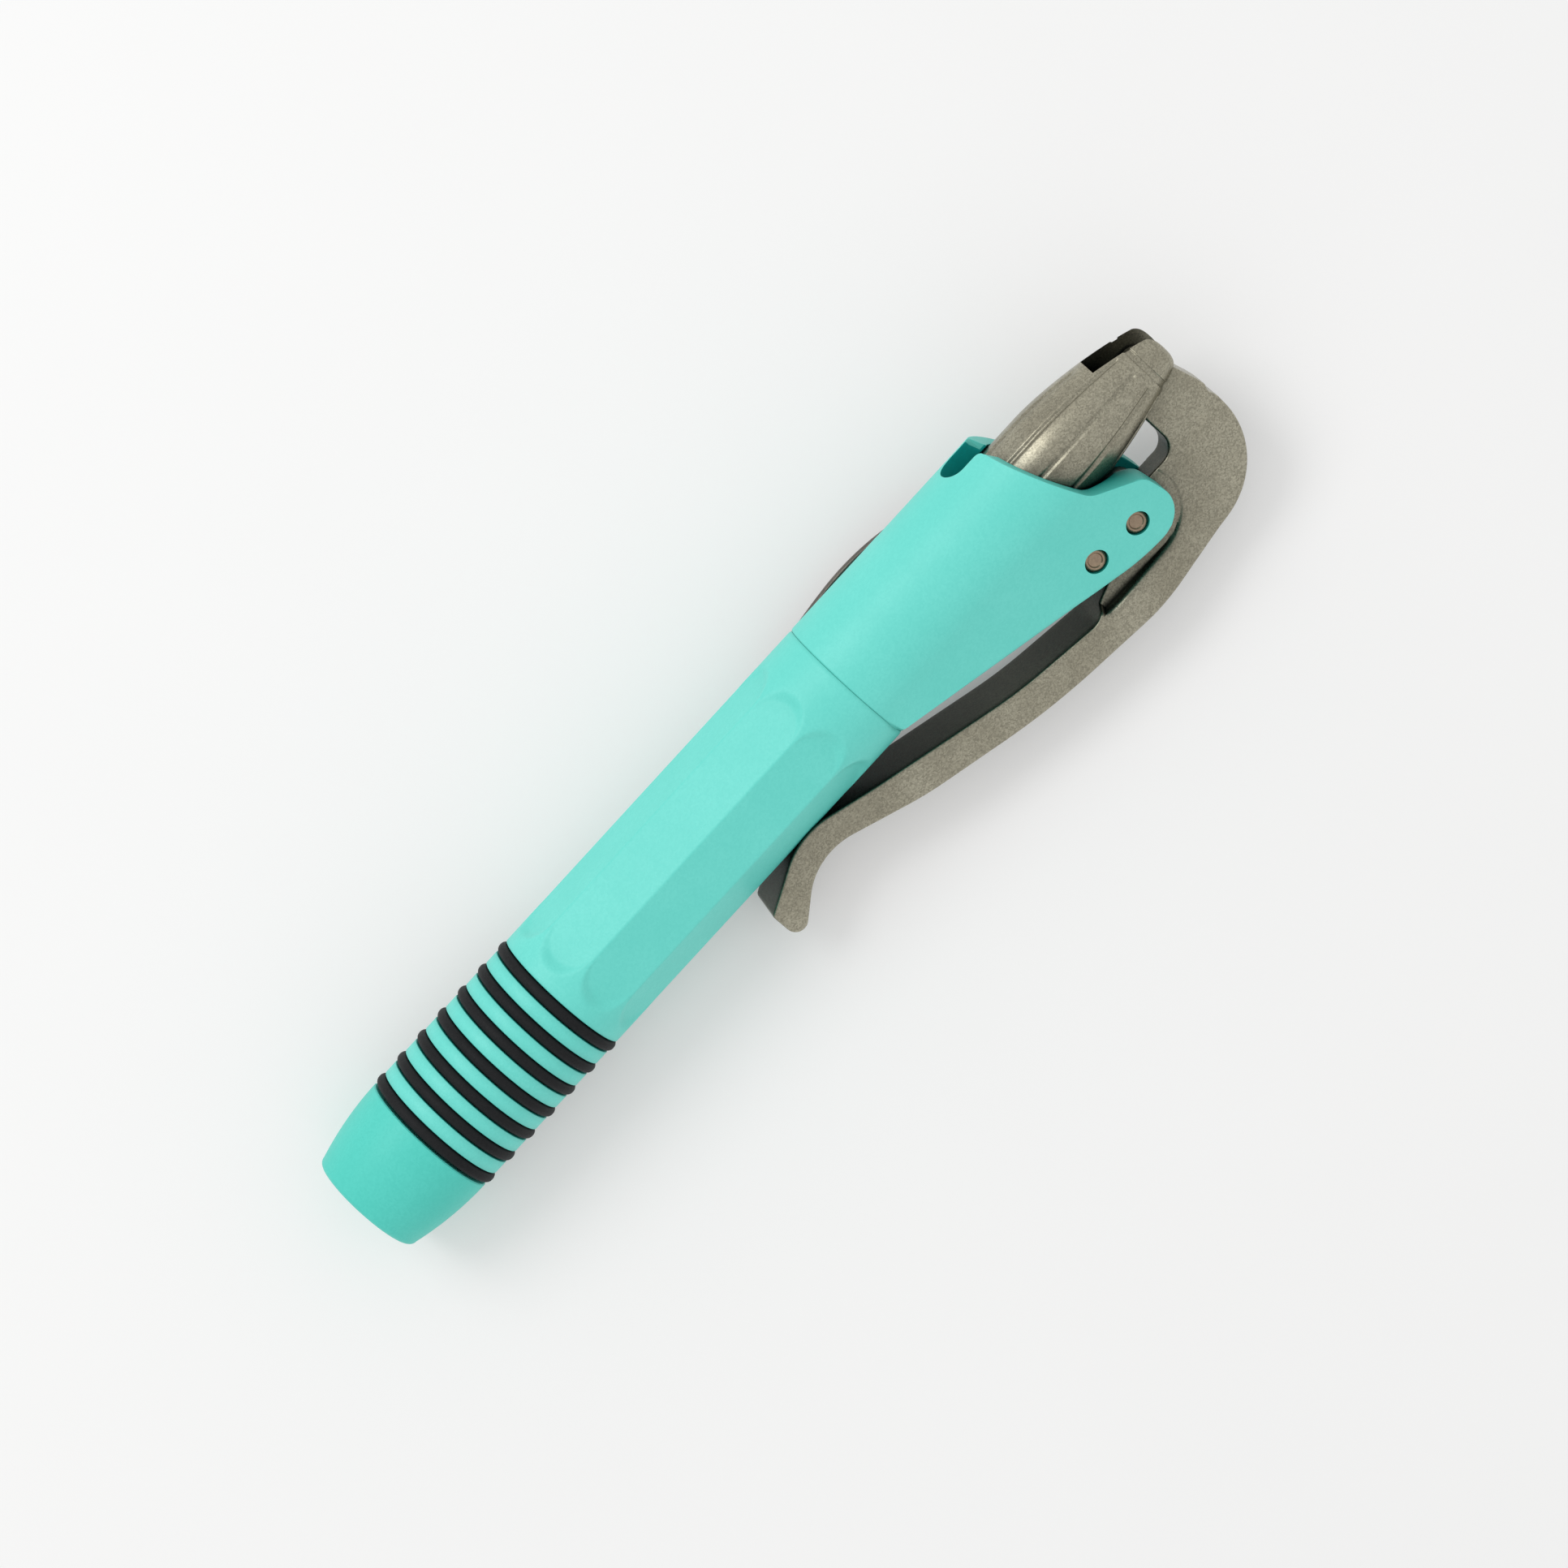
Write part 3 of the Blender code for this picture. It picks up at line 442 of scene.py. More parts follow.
@dataclass
class Sketch:
    """Adds nodes to a material's tree."""

    tree: bpy.types.NodeTree

    def add(self, kind: str, inputs: dict | None = None, **settings: object) -> bpy.types.Node:
        """Adds a node.

        Args:
            kind: the node's type.
            inputs: values or sockets by input name or number.
            settings: properties of the node.

        Returns:
            The node.
        """
        node = self.tree.nodes.new(kind)
        for key, value in settings.items():
            setattr(node, key, value)
        for key, value in (inputs or {}).items():
            if isinstance(value, bpy.types.NodeSocket):
                self.tree.links.new(value, node.inputs[key])
            else:
                node.inputs[key].default_value = value
        return node

    def noise(self, place: bpy.types.NodeSocket, scale: float, detail: float = 3.0,
              roughness: float = 0.55) -> bpy.types.NodeSocket:
        """Noise whose features are about 1 / scale metres across."""
        node = self.add("ShaderNodeTexNoise", {"Vector": place, "Scale": scale, "Detail": detail,
                                               "Roughness": roughness})
        return node.outputs["Fac"]

    def between(self, value: bpy.types.NodeSocket, low: float, high: float, out_low: float = 0.0,
                out_high: float = 1.0) -> bpy.types.NodeSocket:
        """Maps low..high onto out_low..out_high, and holds it there beyond."""
        node = self.add("ShaderNodeMapRange", {"Value": value, "From Min": low, "From Max": high,
                                               "To Min": out_low, "To Max": out_high})
        return node.outputs["Result"]

    def mix(self, share: bpy.types.NodeSocket, first: object, second: object) -> bpy.types.NodeSocket:
        """Colour between two colours or sockets."""
        node = self.add("ShaderNodeMix", data_type="RGBA")
        for key, value in (("Factor", share), ("A", first), ("B", second)):
            socket = next(s for s in node.inputs if s.name == key and s.type in ("VALUE", "RGBA")
                          and (key == "Factor") == (s.type == "VALUE") and s.enabled)
            if isinstance(value, bpy.types.NodeSocket):
                self.tree.links.new(value, socket)
            else:
                socket.default_value = (*value, 1.0)
        return next(s for s in node.outputs if s.type == "RGBA" and s.enabled)


@dataclass(frozen=True)
class Finish:
    """A finish of specks and patches on Object coordinates.

    The colour runs between two tones in patches, and each speck mixes in the grain's tone by a
    share of its own. A finer noise roughens the surface and raises it. Where ambient occlusion finds
    nearby surfaces, the colour is mixed towards a darker tone: painted shade in nooks.
    """

    name: str
    slot: str
    tone: tuple[float, float, float]
    other_tone: tuple[float, float, float]
    grain_tone: tuple[float, float, float]
    metallic: float
    roughness: float
    patch_scale: float = 90.0
    grain_scale: float = 2600.0
    grain_share: float = 0.5
    roughness_swing: float = 0.06
    relief: float = 0.000012
    specular: float = 0.5
    # painted shade: how far ambient occlusion looks, where the shade starts, its tone and its samples
    painted_shade_reach: float = 0.0
    painted_shade_start: float = 0.25
    painted_shade_tone: tuple[float, float, float] = (0.0, 0.0, 0.0)
    painted_shade_samples: int = 12

    def material(self) -> bpy.types.Material:
        """Builds the material once, and returns it."""
        if self.name in bpy.data.materials:
            return bpy.data.materials[self.name]
        material = bpy.data.materials.new(self.name)
        material.use_nodes = True
        tree = material.node_tree
        tree.nodes.clear()
        sketch = Sketch(tree)
        place = sketch.add("ShaderNodeTexCoord").outputs["Object"]
        patches = sketch.between(sketch.noise(place, self.patch_scale), 0.35, 0.65)
        grains = sketch.noise(place, self.grain_scale, 4.0, 0.75)
        cells = sketch.add("ShaderNodeTexVoronoi", {"Vector": place, "Scale": self.grain_scale})
        specks = sketch.add("ShaderNodeSeparateColor", {"Color": cells.outputs["Color"]})
        dark = sketch.between(specks.outputs["Red"], 0.0, 1.0, 0.0, self.grain_share)
        colour = sketch.mix(dark, sketch.mix(patches, self.tone, self.other_tone), self.grain_tone)
        rough = sketch.between(grains, 0.3, 0.7, self.roughness - self.roughness_swing,
                               self.roughness + self.roughness_swing)
        bump = sketch.add("ShaderNodeBump", {"Height": grains, "Distance": self.relief, "Strength": 1.0})
        # painted shade: colour mixed towards a dark tone where ambient occlusion is high
        if self.painted_shade_reach > 0.0:
            painted_shade_node = sketch.add("ShaderNodeAmbientOcclusion", {"Distance": self.painted_shade_reach},
                              samples=self.painted_shade_samples)
            closed = sketch.between(painted_shade_node.outputs["AO"], self.painted_shade_start, 1.0, 1.0, 0.0)
            colour = sketch.mix(closed, colour, self.painted_shade_tone)
        shader = sketch.add("ShaderNodeBsdfPrincipled", {
            "Base Color": colour, "Roughness": rough, "Normal": bump.outputs["Normal"],
            "Metallic": self.metallic, "Specular IOR Level": self.specular})
        sketch.add("ShaderNodeOutputMaterial", {"Surface": shader.outputs["BSDF"]})
        return material


@dataclass(frozen=True)
class Finishes:
    """The finishes of the trainer."""

    # the coating darkens towards a deep teal in nooks, as painted shade
    coating: Finish = Finish("matte_teal_coating", "teal_coating", (0.138, 0.695, 0.610),
                             (0.155, 0.720, 0.635), (0.112, 0.645, 0.565), 0.0, 0.5,
                             grain_scale=2900.0, relief=0.000010,
                             painted_shade_reach=0.014, painted_shade_start=0.3, painted_shade_tone=(0.0, 0.26, 0.215))
    cap_coating: Finish = Finish("matte_teal_cap", "teal_coating", (0.075, 0.605, 0.515),
                                 (0.088, 0.630, 0.540), (0.062, 0.560, 0.475), 0.0, 0.5,
                                 grain_scale=2900.0, relief=0.000010, specular=0.4)
    # a darker, deeper teal copy of the coating for the slot's and bore's inner faces, as painted shade
    slot_shade_coating: Finish = Finish("teal_coating_painted_slot_shade", "teal_coating", (0.0, 0.235, 0.215),
                                  (0.0, 0.25, 0.23), (0.0, 0.20, 0.18), 0.0, 0.7,
                                  grain_scale=2900.0, relief=0.000010, specular=0.15)
    # the metal darkens to near black in nooks and under the handle, as painted shade
    metal: Finish = Finish("bead_blasted_metal", "blasted_metal", (0.38, 0.355, 0.27),
                           (0.47, 0.445, 0.345), (0.18, 0.168, 0.128), 0.95, 0.31, patch_scale=110.0,
                           grain_scale=4400.0, grain_share=0.7, relief=0.000008,
                           painted_shade_reach=0.012, painted_shade_start=0.2, painted_shade_tone=(0.010, 0.018, 0.016))
    # the clip and its screws: a much darker copy of the metal, as painted shade
    shaded_clip_metal: Finish = Finish("clip_metal_painted_shade", "blasted_metal", (0.13, 0.115, 0.10),
                                (0.17, 0.15, 0.13), (0.08, 0.07, 0.06), 0.85, 0.42, patch_scale=160.0,
                                grain_scale=3600.0, relief=0.00002)
    pin_steel: Finish = Finish("turned_pin_steel", "pin_steel", (0.41, 0.31, 0.215),
                               (0.34, 0.255, 0.18), (0.24, 0.18, 0.13), 0.9, 0.34, patch_scale=500.0,
                               grain_scale=3000.0, relief=0.00001)
    bronze: Finish = Finish("bearing_bronze", "bronze", (0.50, 0.33, 0.15), (0.42, 0.27, 0.12),
                            (0.30, 0.19, 0.09), 0.9, 0.4)
    rubber: Finish = Finish("black_ring_rubber", "black_rubber", (0.008, 0.009, 0.010),
                            (0.011, 0.012, 0.013), (0.016, 0.017, 0.018), 0.0, 0.6,
                            grain_scale=3000.0, specular=0.15)


@dataclass(frozen=True)
class ButtCap:
    """Butt cap: a flat face, a domed flank and a hollow stem."""

    sizes: Sizes
    finish: Finish
    face_radius: float = 0.0098
    rim_round: float = 0.0011
    edge_break: float = 0.0002
    stem_end: float = 0.022
    stem_bore: float = 0.0045
    segments: int = 192

    def profile(self) -> np.ndarray:
        """From the blind bore over the stem and the flank to the face.

        The flank's radius falls with the square of the way from the joint to the face.
        """
        butt, end, radius = self.sizes.butt, self.sizes.cap_end, self.sizes.tube_radius
        along = np.linspace(end - self.edge_break, butt + self.rim_round, 28)
        fall = (radius - self.face_radius) * ((end - along) / (end - butt)) ** 2
        flank = np.stack([along, radius - fall], axis=1)
        angle = np.linspace(0, np.pi / 2, 9)[1:]
        edge = flank[-1, 1] - self.rim_round
        rim = np.stack([butt + self.rim_round * (1 - np.sin(angle)),
                        edge + self.rim_round * np.cos(angle)], axis=1)
        stem = self.sizes.tube_bore - self.sizes.gap
        inside = [(end / 2, 0.0), (end / 2, self.stem_bore), (self.stem_end, self.stem_bore),
                  (self.stem_end, stem), (end, stem), (end, radius - self.edge_break)]
        face = [(butt, edge * share) for share in (0.75, 0.5, 0.25, 0.0)]
        return np.concatenate([np.array(inside), flank, rim, np.array(face)])

    def build(self, shop: Workshop) -> None:
        """Makes the cap."""
        surface = Surface().grid(turned(self.profile(), self.segments), closed=True)
        shop.piece("butt_cap", surface, self.finish, Body.HANDLE, ["end_cap"])


@dataclass(frozen=True)
class GripTube:
    """Tube with ring grooves and eight milled flats, and the rubber rings in the grooves."""

    sizes: Sizes
    finish: Finish
    rubber: Finish
    front: float = 0.11431
    ring_count: int = 7
    ring_first: float = 0.0165
    ring_pitch: float = 0.00483
    ring_half_width: float = 0.00099
    ring_half_height: float = 0.00099
    ring_proud: float = 0.00035
    groove_half: float = 0.00115
    groove_floor: float = 0.01004
    groove_round: float = 0.00012
    flat_count: int = 8
    flat_start: float = 0.0492
    flat_length: float = 0.0585
    flat_depth: float = 0.000914
    flat_end_slope: float = 0.0026
    flat_end_share: float = 0.15
    flat_blend: float = 0.00004
    segments: int = 360

    def flat_share(self, x: np.ndarray, y: np.ndarray) -> np.ndarray:
        """How far a flat is cut at a place: 1 inside its rounded ends, 0 outside, eased between.

        Args:
            x: distance along the tube.
            y: distance across the flat from its middle line.

        Returns:
            The share of the flat's full depth.
        """
        half = self.flat_length / 2
        width = self.sizes.tube_radius * math.sin(math.pi / self.flat_count)
        bend = np.sqrt(np.clip(width ** 2 - y ** 2, 0.0, None))
        edge = half - width + bend
        return ease((edge - np.abs(x - self.flat_start - half)) / self.flat_end_slope
                    + self.flat_end_share)

    def radius(self, x: np.ndarray, angle: np.ndarray) -> np.ndarray:
        """Outer radius of the tube.

        A flat is the plane at tube radius less its depth, so its radius is that over the cosine
        of the angle from its middle. Grooves and end chamfers are cut after it.
        """
        full = self.sizes.tube_radius
        pitch = 2 * np.pi / self.flat_count
        off = (angle + pitch / 2) % pitch - pitch / 2
        plane = (full - self.flat_depth) / np.cos(off)
        share = self.flat_share(x, full * np.tan(off))
        flat = full - np.maximum(full - plane, 0.0) * share
        radius = softer_min(np.full_like(flat, full), flat, self.flat_blend)
        cut = np.maximum(self.sizes.joint_chamfer - (self.front - x), 0.0)
        return np.minimum(radius, full - cut * self.sizes.joint_fall)

    def stations(self) -> np.ndarray:
        """Places along the outside: the edges of the grooves exactly, and close ones at the flats."""
        front, edge = self.front, self.groove_round
        places = [front - self.sizes.joint_chamfer, front]
        for i in range(self.ring_count):
            centre = self.ring_first + i * self.ring_pitch
            for side in (-1, 1):
                places += [centre + side * (self.groove_half + edge * k) for k in (0.0, 0.35, 1.0)]
        last = self.ring_first + (self.ring_count - 1) * self.ring_pitch + self.groove_half
        start, end = self.flat_start, self.flat_start + self.flat_length
        spread = [np.arange(low, high, step) for low, high, step in (
            (last + 0.0006, start - 0.001, 0.0015), (start - 0.001, start + 0.010, 0.0003),
            (start + 0.010, end - 0.010, 0.0015), (end - 0.010, end + 0.001, 0.0003),
            (end + 0.001, front - 0.0006, 0.001))]
        places = np.unique(np.round(np.concatenate([places] + spread), 7))
        return places[places > self.sizes.tube_rear - WELD]

    def build(self, shop: Workshop) -> None:
        """Makes the tube and its rings.

        A groove's floor has a row of points beside each of its edges, which are rounded by a
        parabola. The first row is left out, because the tube starts on the first groove's floor.
        """
        x = self.stations()
        angle = 2 * np.pi * np.arange(self.segments) / self.segments
        grid_x = np.broadcast_to(x[:, None], (len(x), self.segments))
        index = np.clip(np.round((x - self.ring_first) / self.ring_pitch), 0, self.ring_count - 1)
        off = x - self.ring_first - index * self.ring_pitch
        away = np.abs(off) - self.groove_half
        lower = np.clip(self.groove_round - away, 0.0, self.groove_round) ** 2 / self.groove_round
        outer = self.radius(grid_x, np.broadcast_to(angle, grid_x.shape)) - lower[:, None]
        walls = np.flatnonzero(np.abs(away) < WELD / 2)
        order = np.concatenate([np.arange(len(x)), walls - 0.5 * np.sign(off[walls])]).argsort()[1:]
        floor = np.full((len(walls), self.segments), self.groove_floor)
        rows_x = np.concatenate([grid_x, grid_x[walls]])[order]
        rows_r = np.concatenate([outer, floor])[order]
        outside = np.stack([rows_x, rows_r * np.sin(angle), rows_r * np.cos(angle)], axis=-1)
        front = self.front
        socket = self.sizes.spigot_radius + self.sizes.gap
        socket_end = front - self.sizes.spigot_length - self.sizes.gap
        inside = turned(np.array([
            (front, socket), (socket_end, socket), (socket_end, self.sizes.tube_bore),
            (self.sizes.tube_rear, self.sizes.tube_bore)]), self.segments)
        surface = Surface().grid(np.concatenate([outside, inside, outside[:1]]), closed=True)
        shop.piece("grip_tube", surface, self.finish, Body.HANDLE, ["handle_tube"])
        for i in range(self.ring_count):
            self.build_ring(shop, i)

    def build_ring(self, shop: Workshop, i: int) -> None:
        """Makes one ring: a section a little fuller than round, carried round the axis."""
        t = 2 * np.pi * np.arange(25) / 24
        wave = np.abs(np.cos(t)) ** 0.85 * np.sign(np.cos(t))
        centre = self.sizes.tube_radius + self.ring_proud - self.ring_half_height
        profile = np.stack([self.ring_first + i * self.ring_pitch + self.ring_half_width * wave,
                            centre + self.ring_half_height * np.sin(t)], axis=1)
        surface = Surface().grid(turned(profile, 160), closed=True)
        shop.piece("rubber_ring_%d" % (i + 1), surface, self.rubber, Body.HANDLE,
                   ["o_ring_%d" % (i + 1)])


@dataclass(frozen=True)
class SlottedHead:
    """Head: a bored round body whose planar cheeks run on into two ears, with a slot between.

    All of its own sizes are measured from its rear face.
    """

    sizes: Sizes
    finish: Finish
    # darker coating for the slot's inner faces, as painted shade
    slot_shade_finish: Finish
    bore_step: float = 0.0277
    bore_ramp: float = 0.0002
    neck_sunk: float = 0.00002
    neck_slope: float = 1.8
    neck_reach: float = 0.02
    neck_blend: float = 0.0006
    neck_edge_blend: float = 0.0002
    corner_blend: float = 0.0003
    keel_blend: float = 0.0012
    keel_start: float = 0.0086
    keel_end: tuple[float, float] = (0.0467, -0.0209)
    slot_start: float = 0.0344
    shear_start: float = 0.0385
    front_edge: tuple[tuple[float, float, float], ...] = (
        (0.0392, 0.0170, 0.0), (0.0404, 0.0140, 0.0), (0.0480, -0.0046, 0.004), (0.0560, -0.0100, 0.003),
        (0.0577, -0.0209, 0.0058), (0.0460, -0.0209, 0.0))
    flare_height: float = 0.0112
    corner_round: float = 0.0014
    pin_clearance: float = 0.00012
    clip_run_out: float = 0.004
    clip_seat_half: float = 0.013
    screw_radius: float = 0.00155
    screw_depth: float = 0.0017

    def keel(self, x: np.ndarray) -> np.ndarray:
        """Height of the underside: a slope that eases into the level bottom of the ears."""
        end_x, end_z = self.keel_end
        slope = (self.keel_start + end_z) / end_x
        return softer_max(-self.keel_start + slope * x, np.full_like(x, end_z), self.keel_blend)

    def radius(self, x: np.ndarray, angle: np.ndarray) -> np.ndarray:
        """Outer radius at an angle from the back, 0, to the underside, pi.

        It is the least of the round back, the cheek's plane, the underside's plane and the cone
        that eases them into the tube, and never less than the round neck.
        """
        full = self.sizes.tube_radius
        slant = self.sizes.cheek_angle
        lean = np.sin(angle) * math.cos(slant) - np.cos(angle) * math.sin(slant)
        cheek = np.where(angle > np.pi / 2 + slant, full / np.maximum(lean, 0.05), full)
        under = -self.keel(x) / np.maximum(-np.cos(angle), 0.02)
        body = softer_min(cheek, under, self.corner_blend)
        chamfer, fall = self.sizes.joint_chamfer, self.sizes.joint_fall
        cone = full - chamfer * fall + self.neck_slope * x
        body = softer_min(body, cone, self.neck_blend)
        neck = np.minimum(full - self.neck_sunk, full - (chamfer - x) * fall)
        near = np.where(x < self.neck_reach, neck, 0.0)
        return np.where(near > 0.0, softer_max(body, near, self.neck_edge_blend), body)

    def front_at(self, z: np.ndarray | float) -> np.ndarray:
        """Where the front edge stands at a height."""
        edge = rounded_path(self.front_edge, False, FINE_STEP)[::-1]
        return np.interp(z, edge[:, 1], edge[:, 0])

    def flare(self, x: np.ndarray) -> np.ndarray:
        """How far the slot opens at the back, where the ears' front corners are rounded."""
        front = self.front_at(self.flare_height)
        short = np.clip(self.corner_round - (front - x), 0.0, self.corner_round)
        return self.corner_round - np.sqrt(self.corner_round ** 2 - short ** 2)

    def slot_half(self, x: np.ndarray) -> np.ndarray:
        """Half width of the slot, with its round end."""
        half = self.sizes.slot_half
        into = np.clip((x - self.slot_start) / half, 0.0, 1.0)
        return half * np.sqrt(1 - (1 - into) ** 2)

    def bore(self, x: np.ndarray) -> np.ndarray:
        """Radius of the bore, which widens for the nose."""
        share = ease((x - self.bore_step) / self.bore_ramp + 0.5)
        return self.sizes.tube_bore + (self.sizes.head_bore - self.sizes.tube_bore) * share

    def outer_angle(self, x: np.ndarray, flank: np.ndarray, under: np.ndarray) -> np.ndarray:
        """Angle of a point on the outside, from its shares of the flank and of the underside."""
        wall = self.slot_half(x)
        top = np.arcsin((wall + self.flare(x)) / self.sizes.tube_radius)
        low = self.keel(x)
        corner = np.arctan2(self.sizes.cheek(low), low)
        bottom = np.pi - np.arctan2(wall, -low)
        return top + (corner - top) * flank + (bottom - corner) * under

    def outside(self, x: np.ndarray, flank: np.ndarray, under: np.ndarray) -> tuple[np.ndarray, np.ndarray]:
        """(y, z) of a point on the outside."""
        angle = self.outer_angle(x, flank, under)
        radius = self.radius(x, angle)
        return radius * np.sin(angle), radius * np.cos(angle)

    def inside(self, x: np.ndarray, low: np.ndarray, round_: np.ndarray,
               high: np.ndarray) -> tuple[np.ndarray, np.ndarray]:
        """(y, z) of a point on the inside: up the slot's wall, round the bore and up the wall again."""
        wall, bore = self.slot_half(x), self.bore(x)
        turn = np.arcsin(wall / bore)
        _, bottom = self.outside(x, np.ones_like(x), np.ones_like(x))
        open_wall = wall + self.flare(x) * high
        top = np.sqrt(self.sizes.tube_radius ** 2 - (wall + self.flare(x)) ** 2)
        edge = bore * np.cos(turn)
        angle = np.pi - turn - (np.pi - 2 * turn) * round_
        y = np.where((round_ > 0) & (round_ < 1), bore * np.sin(angle), open_wall)
        z = np.where(high > 0, edge + (top - edge) * high,
                     np.where(round_ > 0, bore * np.cos(angle), bottom + (-edge - bottom) * low))
        return y, z

    def sheared(self, x: np.ndarray, shares: np.ndarray, section: Callable) -> np.ndarray:
        """Carries a section along the head, and leans its front rows onto the front edge.

        Args:
            x: places of the level rows.
            shares: shares from the last level row to the front edge.
            section: gives (y, z) at an array of places.

        Returns:
            A grid of points, with level rows first.
        """
        start = x[-1]
        y, z = section(np.full(1, start))
        columns = y.shape[-1]
        rows = np.concatenate([np.broadcast_to(x[:, None], (len(x), columns)),
                               np.broadcast_to(start + shares[:, None] * 0.01, (len(shares), columns))])
        lean = np.concatenate([np.zeros(len(x)), shares])[:, None]
        for _ in range(40):
            y, z = section(rows)
            rows = np.where(lean > 0, start + lean * (self.front_at(z) - start), rows)
        return np.stack([rows + self.sizes.head_rear, y, z], axis=-1)

    def build(self, shop: Workshop) -> None:
        """Makes the head."""
        flank_count, under_count, low_count, round_count, high_count = 96, 10, 24, 60, 12
        flank, under = stages(flank_count, under_count)
        low, round_, high = stages(low_count, round_count, high_count)
        x = np.unique(np.round(np.concatenate([
            [0.0, 0.00015, 0.0003, 0.0004, 0.0005, 0.0006, 0.0008],
            np.arange(0.001, self.slot_start, 0.0007),
            [self.bore_step - self.bore_ramp / 2, self.bore_step + self.bore_ramp / 2, self.slot_start],
            self.slot_start + self.sizes.slot_half * (1 - np.cos(np.linspace(0, np.pi / 2, 16))),
            [self.shear_start]]), 7))
        shares = crowded(34, 0.6, both=False)[1:]
        outer = self.sheared(x, shares, lambda at: self.outside(
            at, *np.broadcast_arrays(flank + 0 * at, under + 0 * at)))
        inner = self.sheared(x, shares, lambda at: self.inside(
            at, *np.broadcast_arrays(low + 0 * at, round_ + 0 * at, high + 0 * at)))
        surface = Surface().grid(outer).grid(inner)
        wall = self.front_wall(outer[-1], inner[-1], flank_count, under_count)
        surface.grid(wall).zipped(wall[:, -1], inner[-1, ::-1])
        spigot = self.spigot(outer[0])
        bore = inner[0, low_count:low_count + round_count + 1]
        sleeve = np.stack([bore, bore - np.array([self.sizes.spigot_length, 0.0, 0.0])])
        surface.grid(spigot).grid(sleeve).zipped(spigot[-1], sleeve[-1, ::-1])
        surface.drop(lambda points: np.abs(points[:, 1]) < WELD / 2)
        surface.with_mirror()
        made = shop.piece("slotted_head", surface, self.finish, Body.HANDLE, ["head"],
                          cutters=self.cutters(), soften=2)
        # the slot's and bore's inner faces get the darker coating, as painted shade
        shop.paint_shade_inside(made, self.slot_shade_finish, self.in_slot)

    def in_slot(self, points: np.ndarray) -> np.ndarray:
        """Which points lie on the slot's walls or the bore's, under the outer surface, and get painted shade.
        """
        x, away = points[:, 0] - self.sizes.head_rear, np.hypot(points[:, 1], points[:, 2])
        outer = self.radius(x, np.abs(np.arctan2(points[:, 1], points[:, 2])))
        wall = np.abs(points[:, 1]) < self.sizes.slot_half + 0.0002
        bore = away < self.sizes.head_bore + 0.0001
        return (x > self.slot_start) & (away < outer - 0.00005) & (wall | bore)

    def front_wall(self, outer: np.ndarray, inner: np.ndarray, flank_count: int, steps: int) -> np.ndarray:
        """The wall along the front edge, ruled across from the outside almost to the inside."""
        far = inner[::-1]
        spread = np.linspace(0, len(far) - 1, flank_count + 1)
        match = at_shares(far, spread / spread[-1])
        share = crowded(steps, CROWD)[None, :-1, None]
        wall = outer[:flank_count + 1, None] * (1 - share) + match[:, None] * share
        wall[..., 0] = self.sizes.head_rear + self.front_at(wall[..., 2])
        wall[-1] = outer[flank_count:-1]
        return wall

    def spigot(self, outer: np.ndarray) -> np.ndarray:
        """The rear face and the spigot that screws into the tube, turned from the rear edge's points."""
        angle = np.arctan2(outer[:, 1], outer[:, 2])
        rear = self.sizes.head_rear
        rows = [outer]
        for x in (rear, rear - self.sizes.spigot_length):
            rows.append(np.stack([np.full(len(angle), x), self.sizes.spigot_radius * np.sin(angle),
                                  self.sizes.spigot_radius * np.cos(angle)], axis=1))
        return np.array(rows)

    def cutters(self) -> list[Surface]:
        """The pins' holes, the clip's seat and its screws' holes."""
        made = []
        for pin in (self.sizes.pivot, self.sizes.stop_pin):
            cheek = self.sizes.cheek(pin[2])
            hole = self.sizes.pin_radius + self.pin_clearance
            profile = np.array([(-PAST, 0.0), (-PAST, hole), (-cheek + 0.0005, hole),
                                (cheek - 0.0005, hole), (PAST, hole), (PAST, 0.0)])
            grid = turned(profile, 72, Axis.ACROSS) + np.array([pin[0], 0.0, pin[2]])
            made.append(Surface().grid(grid, closed=True))
        flat, half = self.sizes.clip_flat, self.clip_seat_half
        start = self.sizes.head_rear + self.sizes.clip_seat_start
        length = self.sizes.clip_seat_length
        made.append(slab((start - self.clip_run_out, flat, -half), (start + length, PAST, half)))
        for side in (-1, 1):
            profile = np.array([(flat - self.screw_depth, 0.0), (flat - self.screw_depth, self.screw_radius),
                                (PAST, self.screw_radius), (PAST, 0.0)])
            place = np.array([start + length / 2 + side * self.sizes.screw_spacing / 2, 0.0, 0.0])
            made.append(Surface().grid(turned(profile, 32, Axis.ACROSS) + place, closed=True))
        return made


def slab(low: Sequence[float], high: Sequence[float]) -> Surface:
    """A closed block between two corners: a square section carried along X, with its ends shut."""
    section = np.array([(low[1], low[2]), (high[1], low[2]), (high[1], high[2]), (low[1], high[2])])
    middle = section.mean(axis=0)
    rows = [(low[0], np.tile(middle, (4, 1))), (low[0], section), (high[0], section),
            (high[0], np.tile(middle, (4, 1)))]
    grid = np.array([np.column_stack([np.full(4, x), shape]) for x, shape in rows])
    return Surface().grid(grid, closed=True)


